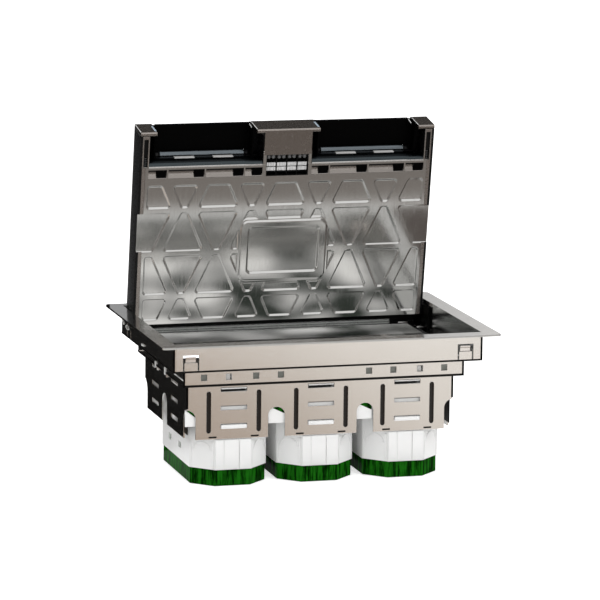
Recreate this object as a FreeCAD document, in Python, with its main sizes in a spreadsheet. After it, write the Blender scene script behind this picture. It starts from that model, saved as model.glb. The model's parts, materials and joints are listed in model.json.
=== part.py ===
"""Floor socket box for twelve 22.5 mm modules, with a hinged lid and cable outlets.

Frame: millimetres, +Z up, X along the box, the lid's hinge at the rear (+Y).
The origin is under the middle of the flange, at the level of the cups' feet.
"""
import FreeCAD
import Part
import math
import os
import Sketcher

os.makedirs("parts", exist_ok=True)
doc = FreeCAD.newDocument("floor_socket_box")
V = FreeCAD.Vector

# ----------------------------------------------------------------- sizes
sheet = doc.addObject("Spreadsheet::Sheet", "Sizes")
sheet.Label = "Sizes"
used_rows = []


class Size:
    """A length that knows its value and the sheet formula behind it."""

    def __init__(self, value, formula):
        self.value = float(value)
        self.formula = formula

    def __add__(self, other):
        other = size(other)
        return Size(self.value + other.value, "(%s + %s)" % (self.formula, other.formula))

    def __radd__(self, other):
        return size(other) + self

    def __sub__(self, other):
        other = size(other)
        return Size(self.value - other.value, "(%s - %s)" % (self.formula, other.formula))

    def __rsub__(self, other):
        return size(other) - self

    def __mul__(self, other):
        other = size(other)
        return Size(self.value * other.value, "(%s * %s)" % (self.formula, other.formula))

    def __rmul__(self, other):
        return size(other) * self

    def __truediv__(self, other):
        other = size(other)
        return Size(self.value / other.value, "(%s / %s)" % (self.formula, other.formula))

    def __neg__(self):
        return Size(-self.value, "(-1 * %s)" % self.formula)


def size(number):
    """A plain number as a Size, a Size as itself."""
    if isinstance(number, Size):
        return number
    return Size(number, "%.6g" % number)


def cell(alias, value):
    """Write one driving dimension into the sheet."""
    row = len(used_rows) + 1
    used_rows.append(alias)
    sheet.set("A%d" % row, alias)
    sheet.set("B%d" % row, "%.6g" % value)
    sheet.setAlias("B%d" % row, alias)
    return Size(value, "Sizes.%s" % alias)


# Trim frame: the flange on the floor and the skirt under it
flange_length = cell("flange_length", 276.0)
flange_width = cell("flange_width", 199.0)
flange_thick = cell("flange_thick", 1.5)
flange_corner = cell("flange_corner", 4.0)
box_depth = cell("box_depth", 120.0)
skirt_length = cell("skirt_length", 252.0)
skirt_front = cell("skirt_front", 86.8)
skirt_rear = cell("skirt_rear", 92.2)
skirt_depth = cell("skirt_depth", 22.9)
frame_sheet = cell("frame_sheet", 1.0)
bend_radius = cell("bend_radius", 2.5)
ledge_lip = cell("ledge_lip", 4.0)

# Middle tier, under the skirt
tier_length = cell("tier_length", 229.6)
tier_front = cell("tier_front", 74.5)
tier_rear = cell("tier_rear", 81.7)
tier_depth = cell("tier_depth", 37.0)
punch_side = cell("punch_side", 5.0)
punch_level = cell("punch_level", 29.6)
punch_inner = cell("punch_inner", 36.1)
punch_pitch = cell("punch_pitch", 20.1)
punch_step = cell("punch_step", 42.2)

# Windows with spring clips in the skirt
window_width = cell("window_width", 13.0)
window_height = cell("window_height", 6.0)
window_level = cell("window_level", 12.0)
window_place = cell("window_place", 112.0)
window_side_place = cell("window_side_place", 64.0)
tongue_slit = cell("tongue_slit", 1.2)
clip_gap = cell("clip_gap", 0.3)

# Socket carrier: three tongues at the front and rear, two on each side
carrier_length = cell("carrier_length", 219.0)
carrier_front = cell("carrier_front", 63.8)
carrier_rear = cell("carrier_rear", 79.0)
carrier_bottom = cell("carrier_bottom", 81.6)
carrier_sheet = cell("carrier_sheet", 1.2)
tongue_width = cell("tongue_width", 59.0)
tongue_outer = cell("tongue_outer", 72.8)
arch_level = cell("arch_level", 57.6)
side_tongue_near = cell("side_tongue_near", 53.6)
side_tongue_middle = cell("side_tongue_middle", 9.5)
side_arch = cell("side_arch", 16.0)
side_tongue_far = cell("side_tongue_far", 68.6)
rib_width = cell("rib_width", 3.6)
rib_height = cell("rib_height", 1.1)
rib_place = cell("rib_place", 20.4)
rib_top = cell("rib_top", 43.0)
rib_bottom = cell("rib_bottom", 76.6)
slot_width = cell("slot_width", 21.5)
slot_height = cell("slot_height", 3.6)
slot_first = cell("slot_first", 42.0)
slot_pitch = cell("slot_pitch", 14.6)
side_slot_near = cell("side_slot_near", 23.0)
side_slot_far = cell("side_slot_far", 40.8)

# Cups for the outlets: a white sleeve over a green cup
cup_pitch = cell("cup_pitch", 71.3)
cup_width = cell("cup_width", 63.0)
cup_front = cell("cup_front", 61.6)
cup_rear = cell("cup_rear", 60.4)
cup_chamfer = cell("cup_chamfer", 16.5)
cup_wall = cell("cup_wall", 1.8)
cup_top = cell("cup_top", 56.0)
cup_bottom = cell("cup_bottom", 106.8)
cup_shoulder = cell("cup_shoulder", 8.0)
panel_height = cell("panel_height", 0.9)
groove_width = cell("groove_width", 1.0)
groove_depth = cell("groove_depth", 0.6)
groove_pitch = cell("groove_pitch", 11.0)
base_wall = cell("base_wall", 1.6)
base_floor = cell("base_floor", 2.0)
base_step = cell("base_step", 0.9)
nest_gap = cell("nest_gap", 0.15)

# Outlets: a four-module holder and two 45 mm socket inserts in each cup
module_side = cell("module_side", 45.0)
module_gap = cell("module_gap", 0.2)
holder_width = cell("holder_width", 54.0)
holder_length = cell("holder_length", 104.0)
holder_thick = cell("holder_thick", 3.0)
socket_rise = cell("socket_rise", 2.0)
socket_body = cell("socket_body", 36.0)
socket_bore = cell("socket_bore", 39.5)
socket_well = cell("socket_well", 17.5)
pin_hole = cell("pin_hole", 5.2)
pin_pitch = cell("pin_pitch", 19.0)
pin_depth = cell("pin_depth", 14.0)
earth_width = cell("earth_width", 5.0)
earth_sheet = cell("earth_sheet", 0.8)
deck_level = cell("deck_level", 54.8)
deck_gap = cell("deck_gap", 1.2)
deck_window = cell("deck_window", 46.4)
deck_notch = cell("deck_notch", 43.0)
port_near = cell("port_near", -14.0)
port_far = cell("port_far", 18.0)
port_level = cell("port_level", 95.0)
port_width = cell("port_width", 8.0)
port_height = cell("port_height", 5.0)
earth_top = cell("earth_top", 3.0)
earth_seat = cell("earth_seat", 0.7)
clip_place_near = cell("clip_place_near", -14.0)
clip_place_far = cell("clip_place_far", 17.5)
clip_width = cell("clip_width", 6.0)
clip_height = cell("clip_height", 2.5)

# Lid: measured from its hinge axis, along the lid and through its thickness
hinge_rear = cell("hinge_rear", 79.96)
hinge_drop = cell("hinge_drop", 6.03)
lid_opening = cell("lid_opening", 80.15)
lid_width = cell("lid_width", 245.4)
lid_reach = cell("lid_reach", 160.0)
lid_tail = cell("lid_tail", 6.0)
lid_outer = cell("lid_outer", 8.5)
lid_inner = cell("lid_inner", 15.0)
cover_sheet = cell("cover_sheet", 1.5)
shell_wall = cell("shell_wall", 4.7)
shell_floor = cell("shell_floor", 1.5)
plate_width = cell("plate_width", 236.0)
plate_end = cell("plate_end", 130.2)
plate_tail = cell("plate_tail", 3.6)
plate_thick = cell("plate_thick", 2.2)
press_depth = cell("press_depth", 1.4)
plate_play = cell("plate_play", 0.1)
bed_ledge = cell("bed_ledge", 3.0)
bed_start = cell("bed_start", 9.0)
bed_end = cell("bed_end", 117.5)
shell_rib = cell("shell_rib", 2.5)
niche_trim = cell("niche_trim", 6.0)
niche_height = cell("niche_height", 6.4)
niche_depth = cell("niche_depth", 8.0)
cell_gap = cell("cell_gap", 2.2)
cell_pitch = cell("cell_pitch", 56.0)
cell_rise = cell("cell_rise", 36.8)
cell_height = cell("cell_height", 32.2)
cell_base = cell("cell_base", 33.2)
cell_tip = cell("cell_tip", 3.6)
cell_first = cell("cell_first", 22.3)
field_width = cell("field_width", 230.6)
field_top = cell("field_top", 114.4)
field_bottom = cell("field_bottom", 0.4)
medal_width = cell("medal_width", 72.0)
medal_height = cell("medal_height", 50.6)
medal_middle = cell("medal_middle", 57.0)
medal_band = cell("medal_band", 6.4)
pocket_level = cell("pocket_level", 124.3)
pocket_height = cell("pocket_height", 7.2)
pocket_width = cell("pocket_width", 30.4)
pocket_pitch = cell("pocket_pitch", 32.0)
pocket_middle = cell("pocket_middle", 67.8)

# Cable outlets at the lid's free edge
outlet_inner = cell("outlet_inner", 20.4)
outlet_outer = cell("outlet_outer", 115.2)
outlet_start = cell("outlet_start", 130.5)
flap_middle = cell("flap_middle", 67.4)
flap_width = cell("flap_width", 78.0)
flap_thick = cell("flap_thick", 2.6)
flap_axis = cell("flap_axis", 134.5)
flap_barrel = cell("flap_barrel", 2.4)
barrel_width = cell("barrel_width", 71.0)
flap_gap = cell("flap_gap", 0.8)
flap_stub = cell("flap_stub", 1.3)
running_gap = cell("running_gap", 0.06)
flap_sink = cell("flap_sink", 4.4)
flap_room = cell("flap_room", 4.6)
lug_width = cell("lug_width", 2.7)
lug_reach = cell("lug_reach", 4.0)
lug_radius = cell("lug_radius", 2.5)
lug_gap = cell("lug_gap", 0.3)
sill_top = cell("sill_top", 134.6)
sill_level = cell("sill_level", 4.5)
sill_thick = cell("sill_thick", 4.0)
channel_inner = cell("channel_inner", 116.2)
channel_outer = cell("channel_outer", 119.8)
channel_depth = cell("channel_depth", 4.0)
grip_play = cell("grip_play", 0.3)
bay_half = cell("bay_half", 18.0)
grid_bar = cell("grid_bar", 1.2)
grille_depth = cell("grille_depth", 6.0)
tab_width = cell("tab_width", 15.0)
tab_sheet = cell("tab_sheet", 1.0)
spring_length = cell("spring_length", 20.0)
cap_inner = cell("cap_inner", 109.3)
edge_depth = cell("edge_depth", 3.4)
edge_round = cell("edge_round", 1.3)
grip_width = cell("grip_width", 52.6)
grip_panel = cell("grip_panel", 39.6)
grip_travel = cell("grip_travel", 2.5)
grip_sheet = cell("grip_sheet", 1.6)
grid_width = cell("grid_width", 35.2)
grid_top = cell("grid_top", 138.2)
grid_bottom = cell("grid_bottom", 120.8)
spring_radius = cell("spring_radius", 1.5)

# Hinge
pin_radius = cell("pin_radius", 2.5)
pin_reach = cell("pin_reach", 12.0)
ear_length = cell("ear_length", 15.0)
ear_height = cell("ear_height", 14.0)
ear_sheet = cell("ear_sheet", 1.2)
hinge_trim = cell("hinge_trim", 5.0)
shroud_length = cell("shroud_length", 204.0)
shroud_sheet = cell("shroud_sheet", 1.2)
shroud_height = cell("shroud_height", 13.0)
seal_width = cell("seal_width", 2.0)
seal_thick = cell("seal_thick", 0.7)
seal_end = cell("seal_end", 50.0)

half_skirt = skirt_length / 2
half_tier = tier_length / 2
half_carrier = carrier_length / 2
half_lid = lid_width / 2
half_cup = cup_width / 2
doc.recompute()


def down(depth):
    """The height of a level below the flange's top."""
    return box_depth - depth


# ----------------------------------------------------------------- helpers
def bind(thing, prop, value):
    """Tie one property of an object to the sheet."""
    thing.setExpression(prop, size(value).formula)


def new_body(label):
    """A PartDesign body for one piece."""
    made = doc.addObject("PartDesign::Body", label)
    made.Label = label
    return made


def sketch_on(body, role, offset):
    """An empty sketch parallel to one of the body's origin planes."""
    made = body.newObject("Sketcher::SketchObject", body.Name + "_sketch")
    base = [f for f in body.Origin.OriginFeatures if f.Role == role][0]
    made.AttachmentSupport = [(base, "")]
    made.MapMode = "FlatFace"
    made.AttachmentOffset = FreeCAD.Placement(V(0, 0, size(offset).value), FreeCAD.Rotation())
    bind(made, "AttachmentOffset.Base.z", offset)
    return made


def fix_point(drawn, geometry, corner, across, along):
    """Hold one point of the drawing at a place given by two sizes."""
    for kind, value in (("DistanceX", size(across)), ("DistanceY", size(along))):
        index = drawn.addConstraint(
            Sketcher.Constraint(kind, -1, 1, geometry, corner, value.value))
        drawn.setExpression("Constraints[%d]" % index, value.formula)


def outline(drawn, points):
    """A closed outline of straight lines through fixed corners."""
    spots = [(size(a), size(b)) for a, b in points]
    first = drawn.GeometryCount
    count = len(spots)
    for i in range(count):
        a = spots[i]
        b = spots[(i + 1) % count]
        drawn.addGeometry(Part.LineSegment(
            V(a[0].value, a[1].value, 0), V(b[0].value, b[1].value, 0)))
    for i in range(count):
        following = first + (i + 1) % count
        drawn.addConstraint(Sketcher.Constraint("Coincident", first + i, 2, following, 1))
    for i in range(count):
        fix_point(drawn, first + i, 1, spots[i][0], spots[i][1])


def rectangle(drawn, left, right, low, high):
    """A rectangle between two verticals and two levels."""
    outline(drawn, [(left, low), (right, low), (right, high), (left, high)])


def centred(drawn, middle, level, width, height):
    """A rectangle about its own middle."""
    rectangle(drawn, middle - width / 2, middle + width / 2, level - height / 2,
              level + height / 2)


def circle(drawn, across, along, radius):
    """A circle held by its centre and radius."""
    radius = size(radius)
    spot = V(size(across).value, size(along).value, 0)
    index = drawn.addGeometry(Part.Circle(spot, V(0, 0, 1), radius.value))
    fix_point(drawn, index, 3, across, along)
    held = drawn.addConstraint(Sketcher.Constraint("Radius", index, radius.value))
    drawn.setExpression("Constraints[%d]" % held, radius.formula)


def bead(drawn, across, low, high, width):
    """An upright slot with two round ends."""
    across, low, high, radius = size(across), size(low), size(high), size(width) / 2
    bottom = low + radius
    top = high - radius
    x, r = across.value, radius.value
    first = drawn.GeometryCount
    drawn.addGeometry(Part.LineSegment(V(x + r, bottom.value, 0), V(x + r, top.value, 0)))
    ring = Part.Circle(V(x, top.value, 0), V(0, 0, 1), r)
    drawn.addGeometry(Part.ArcOfCircle(ring, 0, math.pi))
    drawn.addGeometry(Part.LineSegment(V(x - r, top.value, 0), V(x - r, bottom.value, 0)))
    ring = Part.Circle(V(x, bottom.value, 0), V(0, 0, 1), r)
    drawn.addGeometry(Part.ArcOfCircle(ring, math.pi, 2 * math.pi))
    for i in range(4):
        following = first + (i + 1) % 4
        drawn.addConstraint(Sketcher.Constraint("Tangent", first + i, 2, following, 1))
    fix_point(drawn, first + 1, 3, across, top)
    fix_point(drawn, first + 3, 3, across, bottom)
    held = drawn.addConstraint(Sketcher.Constraint("Radius", first + 1, r))
    drawn.setExpression("Constraints[%d]" % held, radius.formula)


def extrude(body, drawn, kind, length, both=False, backwards=False, taper=None):
    """Pad or pocket a drawing."""
    made = body.newObject("PartDesign::" + kind, body.Name + "_" + kind.lower())
    made.Profile = drawn
    made.Length = size(length).value
    bind(made, "Length", length)
    if both:
        made.SideType = "Symmetric"
    made.Reversed = backwards
    if taper is not None:
        made.TaperAngle = taper
    drawn.Visibility = False
    body.Tip = made
    return made


def pad(body, role, offset, length, shapes, **more):
    """Add material over the outlines that the list of shapes draws."""
    drawn = sketch_on(body, role, offset)
    for draw, values in shapes:
        draw(drawn, *values)
    return extrude(body, drawn, "Pad", length, **more)


def cut(body, role, offset, length, shapes, **more):
    """Take material away under the outlines that the list of shapes draws."""
    drawn = sketch_on(body, role, offset)
    for draw, values in shapes:
        draw(drawn, *values)
    return extrude(body, drawn, "Pocket", length, **more)


def round_edges(body, test, radius):
    """Fillet every straight edge that the test picks."""
    doc.recompute()
    last = body.Tip
    picked = []
    for number, edge in enumerate(last.Shape.Edges):
        if len(edge.Vertexes) == 2 and test(edge.Vertexes[0].Point, edge.Vertexes[1].Point):
            picked.append("Edge%d" % (number + 1))
    made = body.newObject("PartDesign::Fillet", body.Name + "_round")
    made.Base = (last, picked)
    made.Radius = size(radius).value
    bind(made, "Radius", radius)
    body.Tip = made
    return made


def upright_at(*spots):
    """Picks upright edges at given plan corners."""
    places = [(size(a).value, size(b).value) for a, b in spots]

    def test(p, q):
        if abs(p.x - q.x) > 1e-4 or abs(p.y - q.y) > 1e-4:
            return False
        return any(abs(p.x - a) < 0.01 and abs(p.y - b) < 0.01 for a, b in places)
    return test


def across_at(level, *places):
    """Picks edges that run along X at one height and given places along Y."""
    height = size(level).value
    spots = [size(a).value for a in places]

    def test(p, q):
        if abs(p.y - q.y) > 1e-4 or abs(p.z - q.z) > 1e-4 or abs(p.z - height) > 0.01:
            return False
        return any(abs(p.y - a) < 0.01 for a in spots)
    return test


def four(half_across, near, far):
    """The plan corners of a tray that is symmetric in X."""
    return [(half_across, far), (-half_across, far), (half_across, -near), (-half_across, -near)]


def seat(thing, across=0, along=0, level=0):
    """Place an object, bound to the sheet."""
    thing.Placement = FreeCAD.Placement(
        V(size(across).value, size(along).value, size(level).value), FreeCAD.Rotation())
    bind(thing, "Placement.Base.x", across)
    bind(thing, "Placement.Base.y", along)
    bind(thing, "Placement.Base.z", level)


def on_lid(thing):
    """Place an object drawn in the lid's own frame at the open lid.

    There X is the box's, Y runs from the hinge to the free edge and Z points into the box.
    """
    thing.Placement = FreeCAD.Placement(
        V(0, hinge_rear.value, down(hinge_drop).value),
        FreeCAD.Rotation(V(1, 0, 0), 180 - lid_opening.value))
    bind(thing, "Placement.Base.y", hinge_rear)
    bind(thing, "Placement.Base.z", down(hinge_drop))
    bind(thing, "Placement.Rotation.Angle", 180 - lid_opening)


nodes = []


def keep(thing, label=None):
    """Name a finished piece and list it for export."""
    if label:
        thing.Label = label
    nodes.append(thing)
    return thing


# ----------------------------------------------------------------- trim frame
trim = new_body("trim_frame")
pad(trim, "XY_Plane", down(flange_thick), flange_thick,
    [(rectangle, (-flange_length / 2, flange_length / 2, -flange_width / 2, flange_width / 2))])
pad(trim, "XY_Plane", down(skirt_depth), skirt_depth - flange_thick,
    [(rectangle, (-half_skirt, half_skirt, -skirt_front, skirt_rear))])
round_edges(trim, upright_at(*four(half_skirt, skirt_front, skirt_rear)), bend_radius)
round_edges(trim, upright_at(*four(flange_length / 2, flange_width / 2, flange_width / 2)),
            flange_corner)
inside = half_skirt - frame_sheet
cut(trim, "XY_Plane", box_depth, skirt_depth - frame_sheet,
    [(rectangle, (-inside, inside, frame_sheet - skirt_front, skirt_rear - frame_sheet))])
cut(trim, "XY_Plane", box_depth, skirt_depth * 2,
    [(rectangle, (frame_sheet - half_tier, half_tier - frame_sheet,
                  frame_sheet - tier_front, tier_rear - frame_sheet - ledge_lip))])


def window(drawn, middle):
    """A clip window over a sprung tongue that two slits free from the wall."""
    half = window_width / 2
    inner = half - tongue_slit
    sill = down(window_level + window_height / 2)
    head = sill + window_height
    foot = down(skirt_depth + frame_sheet)
    outline(drawn, [(middle - half, foot), (middle - half, head), (middle + half, head),
                    (middle + half, foot), (middle + inner, foot), (middle + inner, sill),
                    (middle - inner, sill), (middle - inner, foot)])


wall_cut = frame_sheet * 3
for offset in (skirt_front, -skirt_rear):
    cut(trim, "XZ_Plane", offset, wall_cut,
        [(window, (window_place,)), (window, (-window_place,))], both=True)
for offset in (half_skirt, -half_skirt):
    cut(trim, "YZ_Plane", offset, wall_cut, [(window, (window_side_place,))], both=True)
keep(trim)

# Spring clips, bent from strip, that hold the trim frame on the middle tier
clip_names = []


def strip_clip(name, across, along, turn):
    """A bent strip behind a window: a foot on the ledge, a leg, and a latch."""
    made = new_body(name)
    thick = clip_gap * 2
    reach = skirt_depth - window_level - window_height / 2 + window_height - frame_sheet
    pad(made, "YZ_Plane", 0, window_width - tongue_slit * 4,
        [(outline, ([(clip_gap, 0), (8, 0), (8, thick), (clip_gap + thick, thick),
                     (clip_gap + thick, reach - 3), (-0.4, reach - 1.4), (-0.4, reach - 2.2),
                     (clip_gap, reach - 3.4)],))], both=True)
    made.Placement = FreeCAD.Placement(
        V(size(across).value, size(along).value, down(skirt_depth - frame_sheet).value),
        FreeCAD.Rotation(V(0, 0, 1), turn))
    bind(made, "Placement.Base.x", across)
    bind(made, "Placement.Base.y", along)
    bind(made, "Placement.Base.z", down(skirt_depth - frame_sheet))
    clip_names.append(made)


strip_clip("clip_front_right", window_place, frame_sheet - skirt_front, 0)
strip_clip("clip_front_left", -window_place, frame_sheet - skirt_front, 0)
strip_clip("clip_rear_right", window_place, skirt_rear - frame_sheet, 180)
strip_clip("clip_rear_left", -window_place, skirt_rear - frame_sheet, 180)
strip_clip("clip_side_right", inside, window_side_place, 90)
strip_clip("clip_side_left", -inside, window_side_place, -90)
clips = doc.addObject("Part::Compound", "skirt_clips")
clips.Links = clip_names
keep(clips, "skirt_clips")

# ----------------------------------------------------------------- middle tier
tier = new_body("mounting_frame")
pad(tier, "XY_Plane", down(tier_depth), tier_depth - skirt_depth,
    [(rectangle, (-half_tier, half_tier, -tier_front, tier_rear))])
round_edges(tier, upright_at(*four(half_tier, tier_front, tier_rear)), bend_radius)
cut(tier, "XY_Plane", down(skirt_depth), tier_depth - skirt_depth - frame_sheet,
    [(rectangle, (frame_sheet - half_tier, half_tier - frame_sheet, frame_sheet - tier_front,
                  tier_rear - frame_sheet))])
cut(tier, "XY_Plane", down(skirt_depth), tier_depth,
    [(rectangle, (carrier_sheet - half_carrier, half_carrier - carrier_sheet,
                  carrier_sheet - carrier_front, carrier_rear - carrier_sheet))])
punches = []
for side in (-1, 1):
    for place in (punch_inner, punch_inner + punch_pitch, punch_inner + punch_step,
                  punch_inner + punch_step + punch_pitch):
        punches.append((centred, (place * side, down(punch_level), punch_side, punch_side)))
cut(tier, "XZ_Plane", tier_front, wall_cut, punches, both=True)
keep(tier)

# ----------------------------------------------------------------- socket carrier
carrier = new_body("socket_carrier")
pad(carrier, "XY_Plane", down(carrier_bottom), carrier_bottom - tier_depth,
    [(rectangle, (-half_carrier, half_carrier, -carrier_front, carrier_rear))])
round_edges(carrier, upright_at(*four(half_carrier, carrier_front, carrier_rear)), bend_radius)
cut(carrier, "XY_Plane", down(tier_depth), carrier_bottom,
    [(rectangle, (carrier_sheet - half_carrier, half_carrier - carrier_sheet,
                  carrier_sheet - carrier_front, carrier_rear - carrier_sheet))])
arch_wide = tongue_outer - tongue_width
arch_places = [tongue_outer / 2, -tongue_outer / 2]
corner_reach = half_carrier - tongue_outer - tongue_width / 2
arch_foot = down(carrier_bottom + 20)
arches = [(bead, (place, arch_foot, down(arch_level), arch_wide)) for place in arch_places]
arches += [(bead, (half_carrier * side, arch_foot, down(arch_level), corner_reach * 2))
           for side in (-1, 1)]
slots = []
for column in (-1, 0, 1):
    for row in (0, 1, 2):
        slots.append((centred, (cup_pitch * column, down(slot_first + slot_pitch * row),
                                slot_width, slot_height)))
beads = []
for column in (-1, 0, 1):
    for side in (-1, 1):
        beads.append((bead, (cup_pitch * column + rib_place * side, down(rib_bottom),
                             down(rib_top), rib_width)))
for face, inward in ((carrier_front, True), (-carrier_rear, False)):
    inner_face = face - carrier_sheet if inward else face + carrier_sheet
    pad(carrier, "XZ_Plane", inner_face, rib_height, beads, backwards=inward)
    cut(carrier, "XZ_Plane", face, rib_height * 2, beads, both=True)
    cut(carrier, "XZ_Plane", face, carrier_sheet * 3, arches + slots, both=True)
side_cuts = [(bead, (side_tongue_middle, arch_foot, down(arch_level), side_arch)),
             (bead, (-carrier_front, arch_foot, down(arch_level),
                     (carrier_front - side_tongue_near) * 2)),
             (bead, (carrier_rear, arch_foot, down(arch_level),
                     (carrier_rear - side_tongue_far) * 2))]
for middle in (-side_slot_near, side_slot_far):
    for row in (0, 1, 2):
        side_cuts.append((centred, (middle, down(slot_first + slot_pitch * row), slot_width,
                                    slot_height)))
for face in (half_carrier, -half_carrier):
    cut(carrier, "YZ_Plane", face, carrier_sheet * 3, side_cuts, both=True)
keep(carrier)

# ----------------------------------------------------------------- cups, holders and sockets
def octagon(drawn, inset):
    """A cup's plan, a rectangle with cut corners, drawn an inset inside its outside."""
    half = half_cup - inset
    near = inset - cup_front
    far = cup_rear - inset
    nip = cup_chamfer - inset * 0.586
    outline(drawn, [(-half, near + nip), (nip - half, near), (half - nip, near),
                    (half, near + nip), (half, far - nip), (half - nip, far),
                    (nip - half, far), (-half, far - nip)])


def shoulder(drawn, side):
    """The triangle that slopes a cut corner's top edge away."""
    flat = half_cup - cup_chamfer
    high = down(cup_top - 1)
    outline(drawn, [((half_cup + 1) * side, high), (flat * side, high),
                    (flat * side, down(cup_top + cup_shoulder + 6)),
                    ((half_cup + 1) * side, down(cup_top))])


nest = cup_wall + nest_gap


def make_cup(name, middle):
    """A white sleeve around a green cup."""
    sleeve = new_body(name + "_cup_sleeve")
    pad(sleeve, "XY_Plane", down(cup_bottom), cup_bottom - cup_top, [(octagon, (0,))])
    flat = half_cup - cup_chamfer
    pad(sleeve, "XZ_Plane", cup_front - cup_wall / 2, panel_height + cup_wall / 2,
        [(rectangle, (-flat, flat, down(cup_bottom), down(carrier_bottom + 1)))])
    cut(sleeve, "XZ_Plane", cup_front + panel_height, groove_depth,
        [(bead, (groove_pitch * side, down(cup_bottom - groove_width), down(carrier_bottom + 3),
                 groove_width)) for side in (-1, -0.5, 0.5, 1)])
    cut(sleeve, "XY_Plane", down(cup_top), cup_bottom, [(octagon, (cup_wall,))])
    for offset, back in ((cup_front, False), (-cup_rear, True)):
        cut(sleeve, "XZ_Plane", offset, cup_chamfer, [(shoulder, (-1,)), (shoulder, (1,))],
            backwards=back)
    for offset in (half_cup, -half_cup):
        cut(sleeve, "YZ_Plane", offset, cup_wall * 3,
            [(centred, (port_near, down(port_level), port_width, port_height)),
             (centred, (port_far, down(port_level), port_width, port_height))], both=True)
    seat(sleeve, middle)
    keep(sleeve)
    cup = new_body(name + "_cup")
    pad(cup, "XY_Plane", 0, down(cup_bottom), [(octagon, (base_step,))])
    pad(cup, "XY_Plane", down(cup_bottom), cup_bottom - cup_top, [(octagon, (nest,))])
    cut(cup, "XY_Plane", down(cup_top), box_depth - cup_top - base_floor,
        [(octagon, (nest + base_wall,))])
    seat(cup, middle)
    keep(cup)


def make_holder(name, middle):
    """The frame that two socket inserts click into, on the deck over a cup."""
    holder = new_body(name + "_module_holder")
    bay = module_side + module_gap
    pad(holder, "XY_Plane", down(deck_level), holder_thick,
        [(centred, (0, 0, holder_width, holder_length))])
    round_edges(holder, upright_at(*four(holder_width / 2, holder_length / 2,
                                         holder_length / 2)), bend_radius)
    cut(holder, "XY_Plane", down(deck_level) + holder_thick, holder_thick * 2,
        [(centred, (0, 0, bay, bay * 2))])
    seat(holder, middle)
    keep(holder)


def make_socket(name, middle, place):
    """A 45 mm socket insert: a square face, a round well and two pin holes."""
    insert = new_body(name)
    face = down(deck_level) + holder_thick + socket_rise
    pad(insert, "XY_Plane", face - socket_body, socket_body,
        [(centred, (0, 0, module_side, module_side))])
    cut(insert, "XY_Plane", face, socket_well, [(circle, (0, 0, socket_bore / 2))])
    cut(insert, "XY_Plane", face - socket_well, pin_depth,
        [(circle, (pin_pitch / 2, 0, pin_hole / 2)), (circle, (-pin_pitch / 2, 0, pin_hole / 2))])
    seat(insert, middle, place)
    keep(insert)


deck = new_body("carrier_deck")
deck_inner = half_carrier - carrier_sheet
pad(deck, "XY_Plane", down(cup_top), cup_top - deck_level,
    [(rectangle, (-deck_inner, deck_inner, carrier_sheet - carrier_front + deck_gap,
                  carrier_rear - carrier_sheet - deck_gap))])
cut(deck, "XY_Plane", down(deck_level), cup_top,
    [(centred, (cup_pitch * column, 0, deck_window, deck_window * 2)) for column in (-1, 0, 1)])
# Notches between the cups that let wires out through the arches
cut(deck, "XY_Plane", down(deck_level), cup_top,
    [(rectangle, (cup_pitch * place - arch_wide / 2, cup_pitch * place + arch_wide / 2,
                  -carrier_front, deck_notch - carrier_front)) for place in (-0.5, 0.5)])
keep(deck)

columns = (("left", -cup_pitch), ("centre", size(0)), ("right", cup_pitch))
rows = (("front", -(module_side + module_gap) / 2), ("rear", (module_side + module_gap) / 2))
for name, middle in columns:
    make_cup(name, middle)
for name, middle in columns:
    make_holder(name, middle)
contacts = []
for name, middle in columns:
    for row, place in rows:
        make_socket("%s_%s_socket" % (name, row), middle, place)
        for side in (-1, 1):
            strip = doc.addObject("Part::Box", "earth_strip")
            bind(strip, "Length", earth_width)
            bind(strip, "Width", earth_sheet)
            bind(strip, "Height", socket_well - earth_top)
            edge = (socket_bore / 2 - earth_seat) * side - earth_sheet / 2
            seat(strip, middle - earth_width / 2, place + edge,
                 down(deck_level) + holder_thick + socket_rise - socket_well)
            contacts.append(strip)
earth = doc.addObject("Part::Compound", "earth_contacts")
earth.Links = contacts
keep(earth, "earth_contacts")

# Clips that hold the carrier's sides up to the middle tier
side_clips = []
for side in (-1, 1):
    for place in (clip_place_near, clip_place_far):
        strip = doc.addObject("Part::Box", "carrier_clip")
        bind(strip, "Length", half_tier - half_carrier)
        bind(strip, "Width", clip_width)
        bind(strip, "Height", clip_height)
        start = half_carrier if side > 0 else -half_tier
        seat(strip, start, place - clip_width / 2, down(tier_depth) - clip_height)
        side_clips.append(strip)
holders = doc.addObject("Part::Compound", "carrier_clips")
holders.Links = side_clips
keep(holders, "carrier_clips")

# ----------------------------------------------------------------- hinge and seal
for name, side in (("left", -1), ("right", 1)):
    ear = new_body(name + "_hinge_ear")
    pad(ear, "YZ_Plane", (inside - ear_sheet / 2) * side, ear_sheet,
        [(centred, (hinge_rear, down(hinge_drop), ear_length, ear_height - hinge_trim))],
        both=True)
    cut(ear, "YZ_Plane", (inside - ear_sheet / 2) * side, ear_sheet * 3,
        [(circle, (hinge_rear, down(hinge_drop), pin_radius))], both=True)
    keep(ear)
for name, side in (("left", -1), ("right", 1)):
    pin = new_body(name + "_hinge_pin")
    middle = (inside - pin_reach / 2 - ear_sheet / 2) * side
    pad(pin, "YZ_Plane", middle, pin_reach + ear_sheet,
        [(circle, (hinge_rear, down(hinge_drop), pin_radius))], both=True)
    keep(pin)

# Black strip on the rear wall that hides the hinge from inside the box
shroud = new_body("hinge_shroud")
shroud_back = skirt_rear - frame_sheet
pad(shroud, "XY_Plane", down(skirt_depth - frame_sheet), shroud_height,
    [(rectangle, (-shroud_length / 2, shroud_length / 2, shroud_back - shroud_sheet,
                  shroud_back))])
keep(shroud)

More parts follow.
